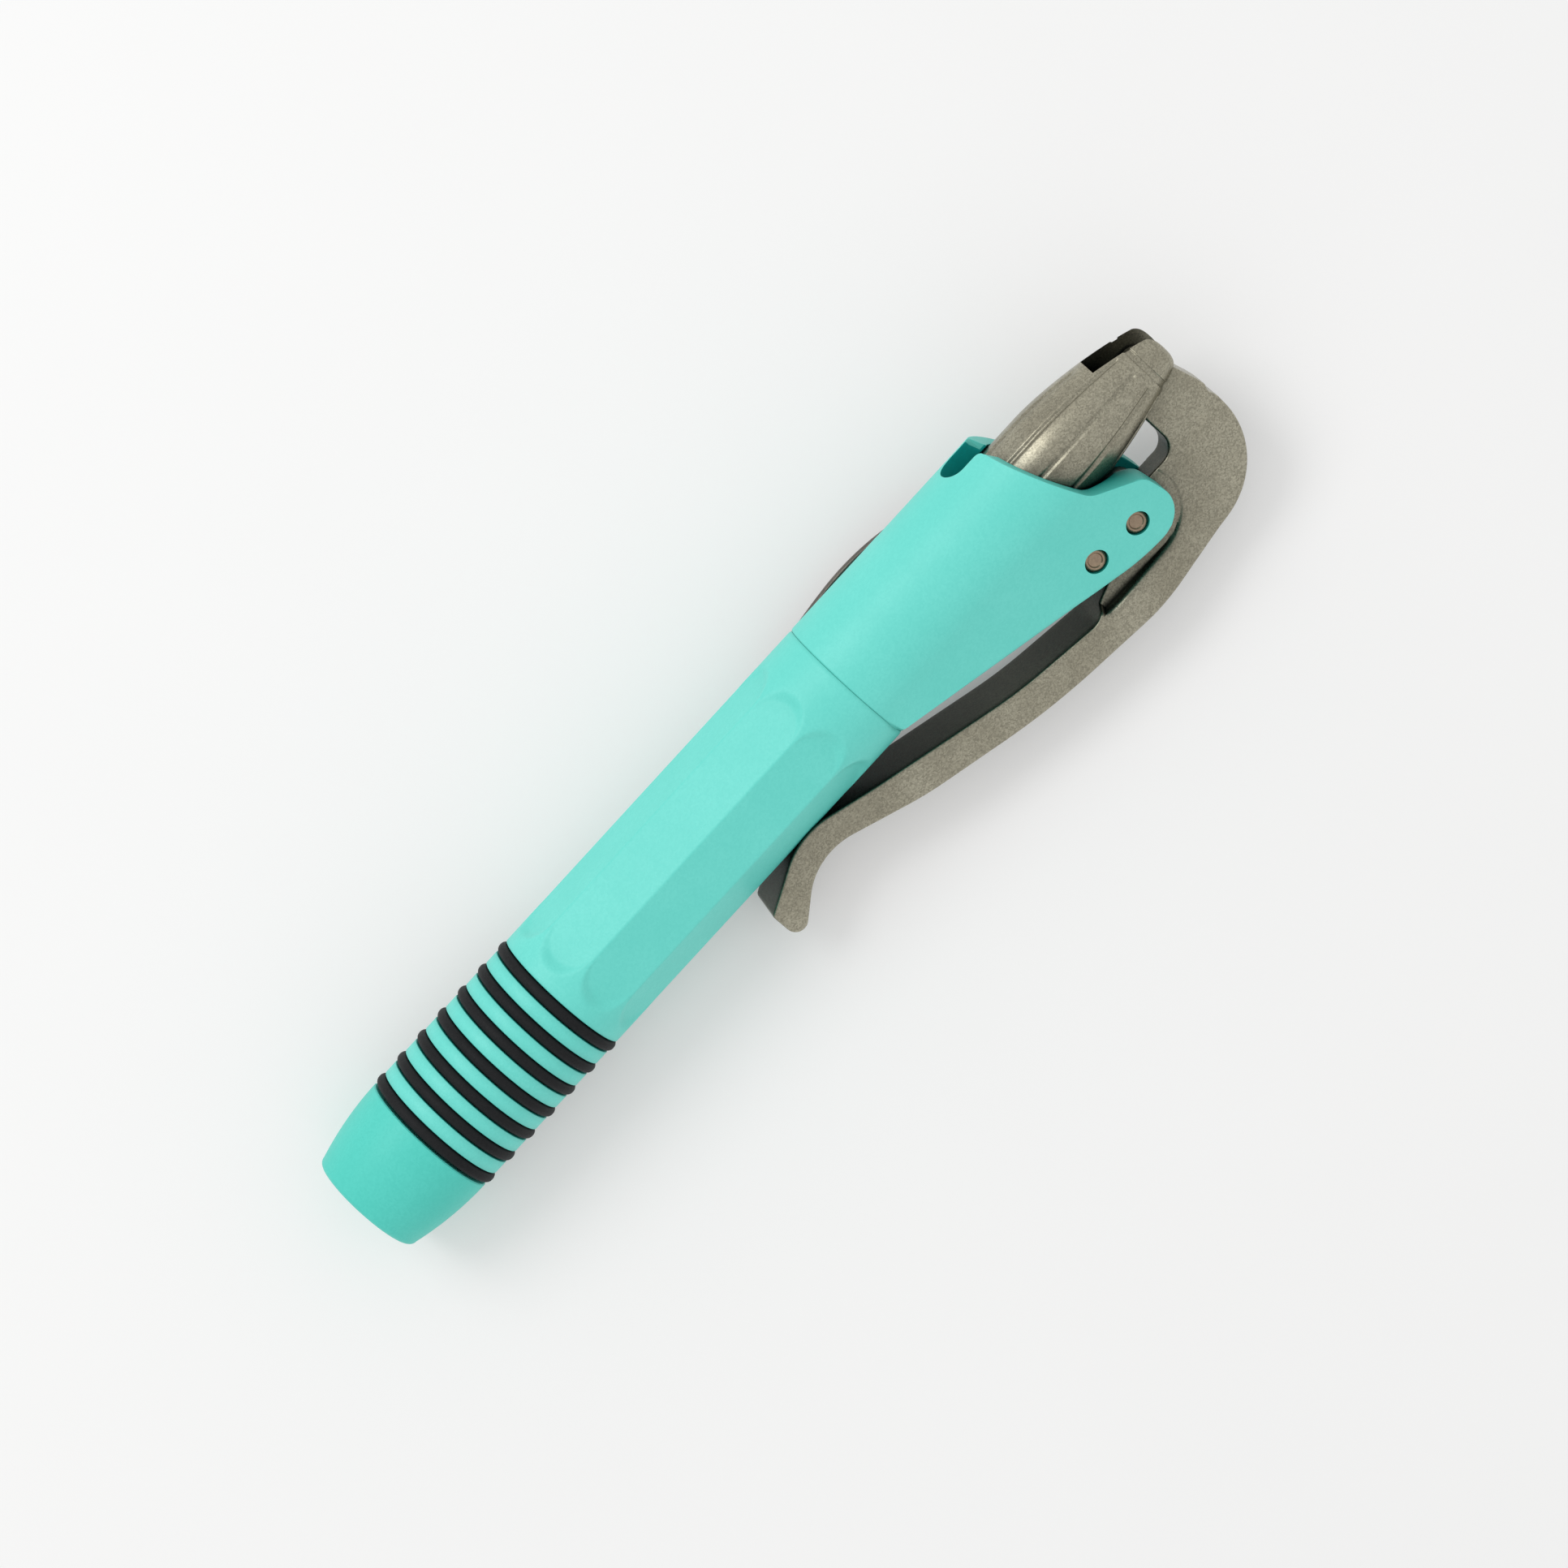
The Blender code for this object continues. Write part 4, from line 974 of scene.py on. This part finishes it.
@dataclass(frozen=True)
class FlutedNose:
    """Nose: a fluted bullet with a band groove and a slot for the lever's tongue."""

    sizes: Sizes
    finish: Finish
    rear: float = 0.1515
    length: float = 0.0359
    straight: float = 0.012
    taper: float = 0.0042
    taper_power: float = 1.6
    end_round: float = 0.0016
    end_lean: float = 0.0003
    band_back: float = 0.0037
    band_width: float = 0.0014
    band_depth: float = 0.0002
    band_flank: float = 0.00028
    flute_count: int = 10
    flute_half: float = 0.00066
    flute_depth: float = 0.00026
    flute_flank: float = 0.85
    flute_run_out: float = 0.45
    flute_fade: float = 0.0007
    fade_ahead: float = 0.002
    under_slot: float = 0.0004
    flute_start: float = 0.0045
    flute_end: float = 0.0288
    rod_hole: tuple[float, float] = (0.0033, 0.0088)
    slot_floor: float = 0.1768
    segments: int = 480

    def skin(self, x: np.ndarray) -> np.ndarray:
        """Radius without flutes: straight, then falling with a power of the way to the end."""
        past = np.maximum(0.0, x - self.rear - self.straight) / (self.length - self.straight)
        return self.sizes.head_bore - self.sizes.gap - self.taper * past ** self.taper_power

    def radius(self, x: np.ndarray, angle: np.ndarray) -> np.ndarray:
        """Radius with its flutes: grooves with eased flanks, whose ends run out in half ellipses.

        Beside the slot the flutes fade, and a shallow band runs round near the end.
        """
        skin = self.skin(x)
        pitch = 2 * np.pi / self.flute_count
        off = ((angle + pitch / 2) % pitch - pitch / 2) * skin
        middle, half = (self.flute_start + self.flute_end) / 2, (self.flute_end - self.flute_start) / 2
        beyond = np.maximum(np.abs(x - self.rear - middle) - half, 0.0)
        away = np.hypot(off, beyond * self.flute_run_out) / self.flute_half
        groove = self.flute_depth * ease((1 - away) / self.flute_flank)
        beside = np.abs(skin * np.sin(angle)) - self.sizes.slot_half
        beside += np.where(np.cos(angle) > 0, 0.0, self.under_slot)
        fade = ease(beside / self.flute_fade)
        groove = groove * np.where(x > self.slot_floor - self.fade_ahead, fade, 1.0)
        band = np.abs(x - self.rear - self.length + self.band_back + self.band_width / 2)
        band = ease((self.band_width / 2 - band) / self.band_flank)
        return skin - groove - self.band_depth * band

    def build(self, shop: Workshop) -> None:
        """Makes the nose."""
        end = self.rear + self.length
        start, run_out = self.rear + self.flute_start, self.rear + self.flute_end
        band = end - self.band_back
        x = np.unique(np.round(np.concatenate([
            np.arange(self.rear, start, 0.0012),
            np.arange(start - 0.0008, start + 0.0008, 0.0001),
            np.arange(start, run_out, 0.0007),
            np.arange(run_out - 0.0008, run_out + 0.0009, 0.0001),
            np.arange(band - self.band_width - 0.0004, band + 0.0004, 0.00006),
            np.linspace(band + 0.0004, end - self.end_round, 8)]), 7))
        angle = 2 * np.pi * np.arange(self.segments) / self.segments
        grid_x = np.broadcast_to(x[:, None], (len(x), self.segments))
        radius = self.radius(grid_x, np.broadcast_to(angle, grid_x.shape))
        side = np.stack([grid_x, radius * np.sin(angle), radius * np.cos(angle)], axis=-1)
        edge = float(self.skin(np.array([end - self.end_round]))[0])
        turn = np.linspace(0, np.pi / 2, 10)[1:]
        cap = np.stack([end - self.end_round * (1 - np.sin(turn)),
                        edge - self.end_round * (1 - np.cos(turn)) - self.end_lean * np.sin(turn)], axis=1)
        inner = [(end, cap[-1, 1] * share) for share in (0.6, 0.0)]
        hole, depth = self.rod_hole
        back = [(self.rear + depth, 0.0), (self.rear + depth, hole), (self.rear, hole),
                (self.rear, self.sizes.head_bore - self.sizes.gap)]
        surface = Surface().grid(np.concatenate([
            turned(np.array(back), self.segments), side, turned(cap, self.segments),
            turned(np.array(inner), self.segments)]), closed=True)
        slot = slab((self.slot_floor, -self.sizes.slot_half, -PAST),
                    (end + 0.01, self.sizes.slot_half, PAST))
        shop.piece("fluted_nose", surface, self.finish, Body.NOSE, ["nose"], cutters=[slot])


@dataclass(frozen=True)
class HandLever:
    """Lever: hand bar, hook and tongue in one, thinner where the ears stand beside it."""

    sizes: Sizes
    finish: Finish
    bar_half: float = 0.00545
    plate_half: float = 0.0029
    web_half: float = 0.002
    edge_round: float = 0.0005
    ear_sweep: float = 0.0086
    ear_room_back: float = 0.0168
    ear_room_ramp: float = 0.0014
    ear_room_drop: float = 0.00036
    ear_room_rise: float = 0.006
    ledge_round: float = 0.0015
    washer_room: float = 0.0054
    bush_hole: float = 0.0035
    tongue_back: float = 0.0129
    rows: int = 460

    def inner_corners(self) -> list[tuple[float, float, float]]:
        """The inner edge from the middle of the tip to the middle of the tongue's end."""
        return [
            (-0.0860, -0.0050, 0.0), (-0.0860, -0.0013, 0.0009), (-0.0732, 0.0052, 0.014),
            (-0.0589, 0.0008, 0.06), (-0.0329, -0.0062, 0.08), (-0.0164, -0.0084, 0.004),
            (-0.0058, -0.0042, 0.003), (-0.0058, 0.005, 0.001), (0.0052, 0.005, 0.0025),
            (0.0052, 0.0014, 0.001), (self.tongue_back, 0.0014, 0.0029),
            (self.tongue_back, 0.0172, 0.0015), (0.0165, 0.0172, 0.0)]

    def outer_corners(self) -> list[tuple[float, float, float]]:
        """The outer edge between the same two places, with the hook's shallow kink."""
        return [
            (-0.0860, -0.0050, 0.0), (-0.0860, -0.0090, 0.0020), (-0.0738, 0.0006, 0.012),
            (-0.0549, -0.0067, 0.06), (-0.0313, -0.0127, 0.12), (-0.0056, -0.01515, 0.04),
            (0.0229, -0.0126, 0.0145), (0.0235, 0.0022, 0.0004), (0.0230, 0.004, 0.0006),
            (0.02345, 0.0052, 0.0008), (0.0231, 0.007, 0.005), (0.0205, 0.0172, 0.0025),
            (0.0165, 0.0172, 0.0)]

    def matches(self) -> list[tuple[tuple[float, float], tuple[float, float]]]:
        """Places on the inner edge and the places on the outer edge that they are ruled to."""
        return [
            ((-0.0850, -0.0008), (-0.0850, -0.0084)), ((-0.0732, 0.0040), (-0.0738, -0.0010)),
            ((-0.0589, 0.0008), (-0.0589, -0.0056)), ((-0.0329, -0.0062), (-0.0329, -0.0125)),
            ((-0.0164, -0.0085), (-0.0160, -0.0145)), ((-0.0079, -0.0051), (-0.0088, -0.0153)),
            ((-0.0058, -0.0020), (-0.0050, -0.0155)), ((-0.0058, 0.0045), (-0.0040, -0.0155)),
            ((0.0048, 0.0045), (0.0030, -0.0145)),
            ((0.0052, 0.0014), (0.0055, -0.0141)), ((self.tongue_back - 0.0008, 0.0022), (0.0170, -0.0110)),
            ((self.tongue_back, 0.0080), (0.0236, -0.0010)), ((self.tongue_back, 0.0150), (0.0215, 0.0140))]

    def half_width(self, x: np.ndarray) -> np.ndarray:
        """Half the width seen from above: the bar's, eased into the plate's, and round at the tip."""
        plan = rounded_path([(-0.0870, 0.0, 0.0), (-0.0870, self.bar_half, 0.0022),
                             (-0.0097, self.bar_half, 0.03), (0.0088, self.plate_half, 0.03),
                             (0.026, self.plate_half, 0.0)], False, 0.0002)
        return np.interp(x, plan[:, 0], plan[:, 1])

    def in_sweep(self, x: np.ndarray, z: np.ndarray) -> np.ndarray:
        """Distance outside the room that the ears need: a strip behind the pivot, a disc in front.

        The strip starts a little narrower at the back, and rises to its full height.
        """
        shallower = self.ear_room_drop * (1 - ease((x + self.ear_room_back) / self.ear_room_rise))
        away = np.where(x < 0, np.abs(z) + shallower, np.hypot(x, z)) - self.ear_sweep
        return np.maximum(away, -x - self.ear_room_back)

    @staticmethod
    def without_ends(path: np.ndarray) -> np.ndarray:
        """An edge without its stretches along the straight tip and the straight end of the tongue."""
        tip = np.flatnonzero(path[:, 0] < path[0, 0] + WELD)[-1]
        tongue = np.flatnonzero(path[:, 1] > path[-1, 1] - WELD)[0]
        return path[tip:tongue + 1]

    def edges(self) -> tuple[np.ndarray, np.ndarray]:
        """The two edges in rows that are ruled to each other."""
        inner, outer = (self.without_ends(rounded_path(corners, False, FINE_STEP))
                        for corners in (self.inner_corners(), self.outer_corners()))
        run_in, run_out = along_path(inner), along_path(outer)
        keys_in, keys_out = [0.0], [0.0]
        for near, far in self.matches():
            keys_in.append(run_in[np.argmin(np.linalg.norm(inner - np.array(near), axis=1))])
            keys_out.append(run_out[np.argmin(np.linalg.norm(outer - np.array(far), axis=1))])
        keys_in.append(run_in[-1])
        keys_out.append(run_out[-1])
        both = (np.array(keys_in) + np.array(keys_out)) / 2
        share = np.linspace(0, both[-1], self.rows + 1)
        return (at_distances(inner, np.interp(share, both, keys_in)),
                at_distances(outer, np.interp(share, both, keys_out)))

    def build(self, shop: Workshop) -> None:
        """Makes the lever: two side sheets ruled from edge to edge, and a rounded rim round them."""
        inner, outer = self.edges()
        part = crowded(22, 0.3)[:, None]
        ends = [inner[k] * (1 - part) + outer[k] * part for k in (0, -1)]
        loop = np.concatenate([inner, ends[1][1:-1], outer[::-1], ends[0][-2:0:-1]])
        tangent = np.roll(loop, -1, axis=0) - np.roll(loop, 1, axis=0)
        tangent /= np.linalg.norm(tangent, axis=1, keepdims=True)
        outward = np.stack([-tangent[:, 1], tangent[:, 0]], axis=1)
        inset = loop - outward * self.edge_round
        count, across = len(inner), len(part) - 2
        near = inset[:count]
        far = inset[count + across:2 * count + across][::-1]
        ledge = self.ledge(near, far)
        has_room = self.in_sweep(near[:, 0], near[:, 1]) < 0
        steps = crowded(14, 0.3)[None, :, None]
        inside = near[:, None] * (1 - steps) + ledge[:, None] * steps
        beyond = ledge[:, None] * (1 - part) + far[:, None] * part
        begin = near[np.argmax(has_room), 0]
        cut = np.where(has_room, ease((near[:, 0] - begin) / self.ear_room_ramp), 0.0)[:, None]
        thin = self.bar_half - (self.bar_half - self.plate_half) * cut
        inside_half = np.minimum(thin, self.half_width(inside[..., 0]))
        beyond_half = self.half_width(beyond[..., 0])
        short = 1 - np.linalg.norm(beyond - ledge[:, None], axis=-1) / self.ledge_round
        fall = self.ledge_round * (1 - np.sqrt(1 - np.clip(short, 0.0, 1.0) ** 2)) * cut
        drop = np.maximum(beyond_half[:, :1] - inside_half[:, :1], 0.0)
        beyond_half = beyond_half - np.minimum(fall, drop)
        sheet = np.concatenate([
            np.stack([inside[..., 0], inside_half, inside[..., 1]], axis=-1),
            np.stack([beyond[..., 0], beyond_half, beyond[..., 1]], axis=-1)], axis=1)
        inset[count:count + across] = beyond[-1, 1:-1]
        inset[2 * count + across:] = beyond[0, -2:0:-1]
        half = self.half_width(inset[:, 0])
        half[:count] = inside_half[:, 0]
        turn = np.linspace(0, np.pi / 2, 6)
        out = self.edge_round * np.sin(turn)
        down = self.edge_round * (1 - np.cos(turn))
        wall = (half[:, None] - self.edge_round) * np.linspace(0.8, 0, 4)
        levels = np.concatenate([half[:, None] - down, wall], axis=1)
        reach = np.concatenate([out, np.full(4, self.edge_round)])
        ring = inset[:, None] + outward[:, None] * reach[None, :, None]
        rim = np.stack([ring[..., 0], levels, ring[..., 1]], axis=-1)
        rim = np.concatenate([rim, rim[:1]])
        place = np.array([self.sizes.pivot[0], 0.0, self.sizes.pivot[2]])
        surface = Surface().grid(sheet + place).grid(rim + place).with_mirror()
        shop.piece("hand_lever", surface, self.finish, Body.LEVER, ["lever"], cutters=self.cutters())

    def ledge(self, near: np.ndarray, far: np.ndarray) -> np.ndarray:
        """Where each ruled line leaves the room of the ears, found by halving the line."""
        low, high = np.zeros(len(near)), np.ones(len(near))
        for _ in range(40):
            middle = (low + high) / 2
            point = near + (far - near) * middle[:, None]
            inside = self.in_sweep(point[:, 0], point[:, 1]) < 0
            low, high = np.where(inside, middle, low), np.where(inside, high, middle)
        share = np.where(self.in_sweep(near[:, 0], near[:, 1]) < 0, low, 0.0)
        return near + (far - near) * share[:, None]

    def cutters(self) -> list[Surface]:
        """The hole for the bush, with a round room on each side for a washer."""
        profile = np.array([(-0.01, 0.0), (-0.01, self.washer_room), (-self.web_half, self.washer_room),
                            (-self.web_half, self.bush_hole), (self.web_half, self.bush_hole),
                            (self.web_half, self.washer_room), (0.01, self.washer_room), (0.01, 0.0)])
        grid = turned(profile, 48, Axis.ACROSS) + np.array([self.sizes.pivot[0], 0.0, self.sizes.pivot[2]])
        return [Surface().grid(grid, closed=True)]


@dataclass(frozen=True)
class EarPins:
    """The pivot pin and the stop pin, with chamfered, dished ends."""

    sizes: Sizes
    finish: Finish
    chamfer: float = 0.00042
    sunk: float = 0.00025
    dish: float = 0.00022

    def build(self, shop: Workshop) -> None:
        """Makes both pins."""
        radius = self.sizes.pin_radius
        for name, node, pin in (("pivot_pin_turned", "pivot_pin", self.sizes.pivot),
                                ("stop_pin_turned", "stop_pin", self.sizes.stop_pin)):
            cheek = self.sizes.cheek(pin[2])
            half = cheek - radius * math.tan(self.sizes.cheek_angle) - self.sunk
            face = radius - self.chamfer
            end = [(half - self.dish, 0.0), (half - self.dish, face * 0.7), (half, face * 0.82), (half, face),
                   (half - self.chamfer * 0.45, radius - self.chamfer * 0.3), (half - self.chamfer, radius)]
            profile = np.array([(-x, r) for x, r in end] + [(x, r) for x, r in reversed(end)])
            grid = turned(profile, 96, Axis.ACROSS) + np.array([pin[0], 0.0, pin[2]])
            shop.piece(name, Surface().grid(grid, closed=True), self.finish, Body.HANDLE, [node])


@dataclass(frozen=True)
class CarryClip:
    """Carry clip: a bent leaf-shaped strip on the far cheek, and the two screws that hold it."""

    sizes: Sizes
    finish: Finish
    width: float = 0.0154
    leaf: float = 0.0447
    thickness: float = 0.0012
    peak: float = 0.0148
    peak_at: float = 0.014
    reach: float = 0.0045
    lip: float = 0.004
    lip_rise: float = 0.0012
    bend: float = 0.03
    seat_bend: float = 0.003
    lip_bend: float = 0.004
    end_round: float = 0.003
    edge_round: float = 0.0003
    screw_head: tuple[float, float] = (0.0022, 0.001)
    screw_shank: float = 0.00125
    screw_depth: float = 0.0014
    screw_socket: tuple[float, float] = (0.001, 0.0006)

    def line(self) -> np.ndarray:
        """The inner face seen from above, from the screwed end over the peak to the lip."""
        rear = self.sizes.head_rear
        inner = self.sizes.clip_flat + self.sizes.gap
        rest = self.sizes.tube_radius + self.sizes.gap
        seat = rear + self.sizes.clip_seat_start
        front = seat + self.sizes.clip_seat_length - self.sizes.gap
        lip = rear - self.reach
        corner, dip = self.peak - self.thickness, rest
        for _ in range(12):
            points = rounded_path([
                (front, inner, 0.0), (seat, inner, self.seat_bend),
                (rear + self.peak_at, corner, self.bend), (lip, dip, self.lip_bend),
                (lip - self.lip, rest + self.lip_rise, 0.0)], False, 0.0004)
            corner += self.peak - self.thickness - points[:, 1].max()
            dip += rest - points[points[:, 0] < rear, 1].min()
        return points

    def build(self, shop: Workshop) -> None:
        """Makes the strip, a rounded section carried along its bent line, and the screws.

        Its half width falls with the square of the way from the peak, and its ends are round.
        """
        line = self.line()
        tangent = np.gradient(line, axis=0)
        tangent /= np.linalg.norm(tangent, axis=1, keepdims=True)
        outward = np.stack([tangent[:, 1], -tangent[:, 0]], axis=1)
        outward *= np.sign(outward[:, 1:])
        half = self.width / 2 * (1 - ((line[:, 0] - self.sizes.head_rear - self.peak_at) / self.leaf) ** 2)
        run = along_path(line)
        for away in (run, run[-1] - run):
            short = np.maximum(self.end_round - away, 0.0)
            half = half - self.end_round + np.sqrt(self.end_round ** 2 - short ** 2)
        middle, corner = self.thickness / 2, self.edge_round
        turn = np.linspace(0, np.pi / 2, 5)
        bend = np.concatenate([np.sin(turn), np.cos(turn)]) * corner - corner
        rise = np.concatenate([corner - middle - corner * np.cos(turn),
                               middle - corner + corner * np.sin(turn)])
        flat = (half - corner)[:, None] * np.linspace(0.0, 1.0, 10)[:-1]
        side = np.concatenate([flat, half[:, None] + bend, flat[:, ::-1]], axis=1)
        faces = np.full(flat.shape[1], middle)
        level = np.concatenate([-faces, rise, faces])
        across = np.concatenate([side, -side[:, -2:0:-1]], axis=1)[..., None]
        level = np.concatenate([level, level[-2:0:-1]])[None, :, None]
        centre = (line + outward * middle)[:, None]
        strip = np.concatenate([centre + outward[:, None] * level, across], axis=-1)
        ends = strip.mean(axis=1, keepdims=True)
        strip = np.concatenate([np.broadcast_to(ends[:1], strip[:1].shape), strip,
                                np.broadcast_to(ends[-1:], strip[:1].shape)])
        places = self.screw_places()
        holes = []
        for place in places:
            hole = self.screw_shank + self.sizes.gap
            profile = np.array([(0.005, 0.0), (0.005, hole), (PAST, hole), (PAST, 0.0)])
            holes.append(Surface().grid(turned(profile, 32, Axis.ACROSS) + place, closed=True))
        shop.piece("bent_clip", Surface().grid(strip, closed=True), self.finish, Body.HANDLE,
                   ["carry_clip"], cutters=holes)
        for i, place in enumerate(places):
            self.build_screw(shop, i, place)

    def screw_places(self) -> list[np.ndarray]:
        """Where the two screws stand."""
        sizes = self.sizes
        middle = sizes.head_rear + sizes.clip_seat_start + sizes.clip_seat_length / 2
        return [np.array([middle + side * sizes.screw_spacing / 2, 0.0, 0.0]) for side in (-1, 1)]

    def build_screw(self, shop: Workshop, i: int, place: np.ndarray) -> None:
        """Makes one screw: a low domed head with a hexagon socket on a plain shank."""
        radius, height = self.screw_head
        low = self.sizes.clip_flat + self.sizes.gap + self.thickness + self.sizes.gap * 0.2
        tip = self.sizes.clip_flat - self.screw_depth
        turn = np.linspace(0, np.pi / 2, 10)
        dome = np.stack([low + height * (0.35 + 0.65 * np.sin(turn)),
                         radius * (0.55 + 0.45 * np.cos(turn))], axis=1)
        profile = np.concatenate([
            [(tip, 0.0), (tip, self.screw_shank), (low, self.screw_shank), (low, radius * 0.96),
             (low + 0.0001, radius)], dome, [(low + height, 0.0)]])
        key, bottom = self.screw_socket
        floor = low + height - bottom
        socket = np.array([(floor, 0.0), (floor, key), (PAST, key), (PAST, 0.0)])
        cutter = Surface().grid(turned(socket, 6, Axis.ACROSS) + place, closed=True)
        surface = Surface().grid(turned(profile, 64, Axis.ACROSS) + place, closed=True)
        shop.piece("socket_screw_%d" % (i + 1), surface, self.finish, Body.HANDLE,
                   ["clip_screw_%d" % (i + 1)], cutters=[cutter])


@dataclass(frozen=True)
class Studio:
    """Pale floor, soft light and the camera above the table."""

    axes: DesignFrame
    turn: float = math.radians(-47.4)
    distance: float = 0.88
    view_angle: float = math.radians(16.22)
    sensor: float = 36.0
    aim: tuple[float, float] = (0.0954, -0.0038)
    tilt: tuple[float, float] = (0.0, math.radians(2.25))
    table_reach: float = 3.0
    table_drop: float = 0.0001
    table_tone: tuple[float, float, float] = (0.915, 0.915, 0.91)
    table_patch: float = 1.012
    pale_tone: tuple[float, float, float, float] = (0.885, 0.885, 0.88, 1.0)
    pale_share: float = 0.28
    sky: float = 0.8
    key_power: float = 2.75
    key_size: float = 0.5
    key_place: tuple[float, float, float] = (-0.17, 0.62, 0.72)

    def build(self) -> None:
        """Makes the floor, the lights and the camera."""
        self.build_floor()
        self.build_lights()
        self.build_camera()

    def build_floor(self) -> None:
        """A flat table just under the trainer, larger than the view.

        What the camera and mirrors see of it is made a little paler, and keeps its shadows.
        """
        reach = self.table_reach
        mesh = bpy.data.meshes.new("table_top")
        mesh.from_pydata([(-reach, -reach, 0), (reach, -reach, 0), (reach, reach, 0), (-reach, reach, 0)],
                         [], [(0, 1, 2, 3)])
        floor = bpy.data.objects.new("table_top", mesh)
        floor.location.z = -self.table_drop
        bpy.context.scene.collection.objects.link(floor)
        material = bpy.data.materials.new("pale_table")
        material.use_nodes = True
        sketch = Sketch(material.node_tree)
        shader = material.node_tree.nodes["Principled BSDF"]
        place = sketch.add("ShaderNodeTexCoord").outputs["Object"]
        patches = sketch.between(sketch.noise(place, 12.0), 0.3, 0.7)
        paler = tuple(value * self.table_patch for value in self.table_tone)
        tone = sketch.mix(patches, self.table_tone, paler)
        material.node_tree.links.new(tone, shader.inputs["Base Color"])
        shader.inputs["Roughness"].default_value = 0.9
        shader.inputs["Specular IOR Level"].default_value = 0.1
        path = sketch.add("ShaderNodeLightPath")
        seen = path.outputs["Is Camera Ray"]
        for kind in ("Is Glossy Ray", "Is Transmission Ray"):
            seen = sketch.add("ShaderNodeMath", {0: seen, 1: path.outputs[kind]}, operation="ADD",
                              use_clamp=True).outputs[0]
        part = sketch.add("ShaderNodeMath", {0: seen, 1: self.pale_share}, operation="MULTIPLY")
        glow = sketch.add("ShaderNodeEmission", {"Color": self.pale_tone, "Strength": 1.0})
        both = sketch.add("ShaderNodeMixShader", {0: part.outputs[0], 1: shader.outputs["BSDF"],
                                                  2: glow.outputs["Emission"]})
        sketch.add("ShaderNodeOutputMaterial", {"Surface": both.outputs["Shader"]})
        material.node_tree.nodes.remove(material.node_tree.nodes["Material Output"])
        floor.data.materials.append(material)

    def build_lights(self) -> None:
        """An even sky and one large soft lamp from the side away from the lever."""
        world = bpy.context.scene.world or bpy.data.worlds.new("sky")
        bpy.context.scene.world = world
        world.use_nodes = True
        background = world.node_tree.nodes["Background"]
        background.inputs["Color"].default_value = (1.0, 1.0, 1.0, 1.0)
        background.inputs["Strength"].default_value = self.sky
        lamp = bpy.data.lights.new("key", "AREA")
        lamp.shape, lamp.size, lamp.energy = "DISK", self.key_size, self.key_power
        key = bpy.data.objects.new("key", lamp)
        key.location = self.key_place
        key.rotation_mode = "QUATERNION"
        key.rotation_quaternion = (-key.location).to_track_quat("-Z", "Y")
        bpy.context.scene.collection.objects.link(key)

    def build_camera(self) -> None:
        """A camera that looks down on the table, turned so that the handle runs to the upper right."""
        data = bpy.data.cameras.new("camera")
        data.sensor_fit, data.sensor_width = "HORIZONTAL", self.sensor
        data.lens = self.sensor / 2 / math.tan(self.view_angle / 2)
        data.clip_start, data.clip_end = 0.01, 20.0
        camera = bpy.data.objects.new("camera", data)
        centre = self.axes.to_row(np.array([[self.aim[0], 0.0, 0.0]]))[0] + np.array([0.0, self.aim[1], 0.0])
        lean = Matrix.Rotation(self.tilt[0], 4, "X") @ Matrix.Rotation(self.tilt[1], 4, "Y")
        turn = Matrix.Rotation(self.turn, 4, "Z")
        camera.matrix_world = (Matrix.Translation(Vector(centre)) @ lean @ turn
                               @ Matrix.Translation((0.0, 0.0, self.distance)))
        bpy.context.scene.collection.objects.link(camera)
        bpy.context.scene.camera = camera


def main() -> None:
    """Builds the trainer and the studio."""
    logging.basicConfig(level=logging.INFO, format="%(name)s: %(message)s")
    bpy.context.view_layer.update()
    sizes, finishes = Sizes(), Finishes()
    axes = DesignFrame(frame["record"]["behaviour"]["joints"], sizes.pivot)
    shop = Workshop(axes)
    ButtCap(sizes, finishes.cap_coating).build(shop)
    GripTube(sizes, finishes.coating, finishes.rubber).build(shop)
    SlottedHead(sizes, finishes.coating, finishes.slot_shade_coating).build(shop)
    FlutedNose(sizes, finishes.metal).build(shop)
    HandLever(sizes, finishes.metal).build(shop)
    EarPins(sizes, finishes.pin_steel).build(shop)
    # the clip is dressed in the darker metal, as painted shade
    CarryClip(sizes, finishes.shaded_clip_metal).build(shop)
    for node in ("main_spring", "spring_seat", "push_rod", "rod_collar", "collar_nut"):
        shop.dress(node, finishes.metal)
    for node in ("pivot_bush", "pivot_washer_near", "pivot_washer_far"):
        shop.dress(node, finishes.bronze)
    Studio(axes).build()
    bpy.context.scene.view_settings.view_transform = "Standard"


if __name__ == "__main__":
    main()
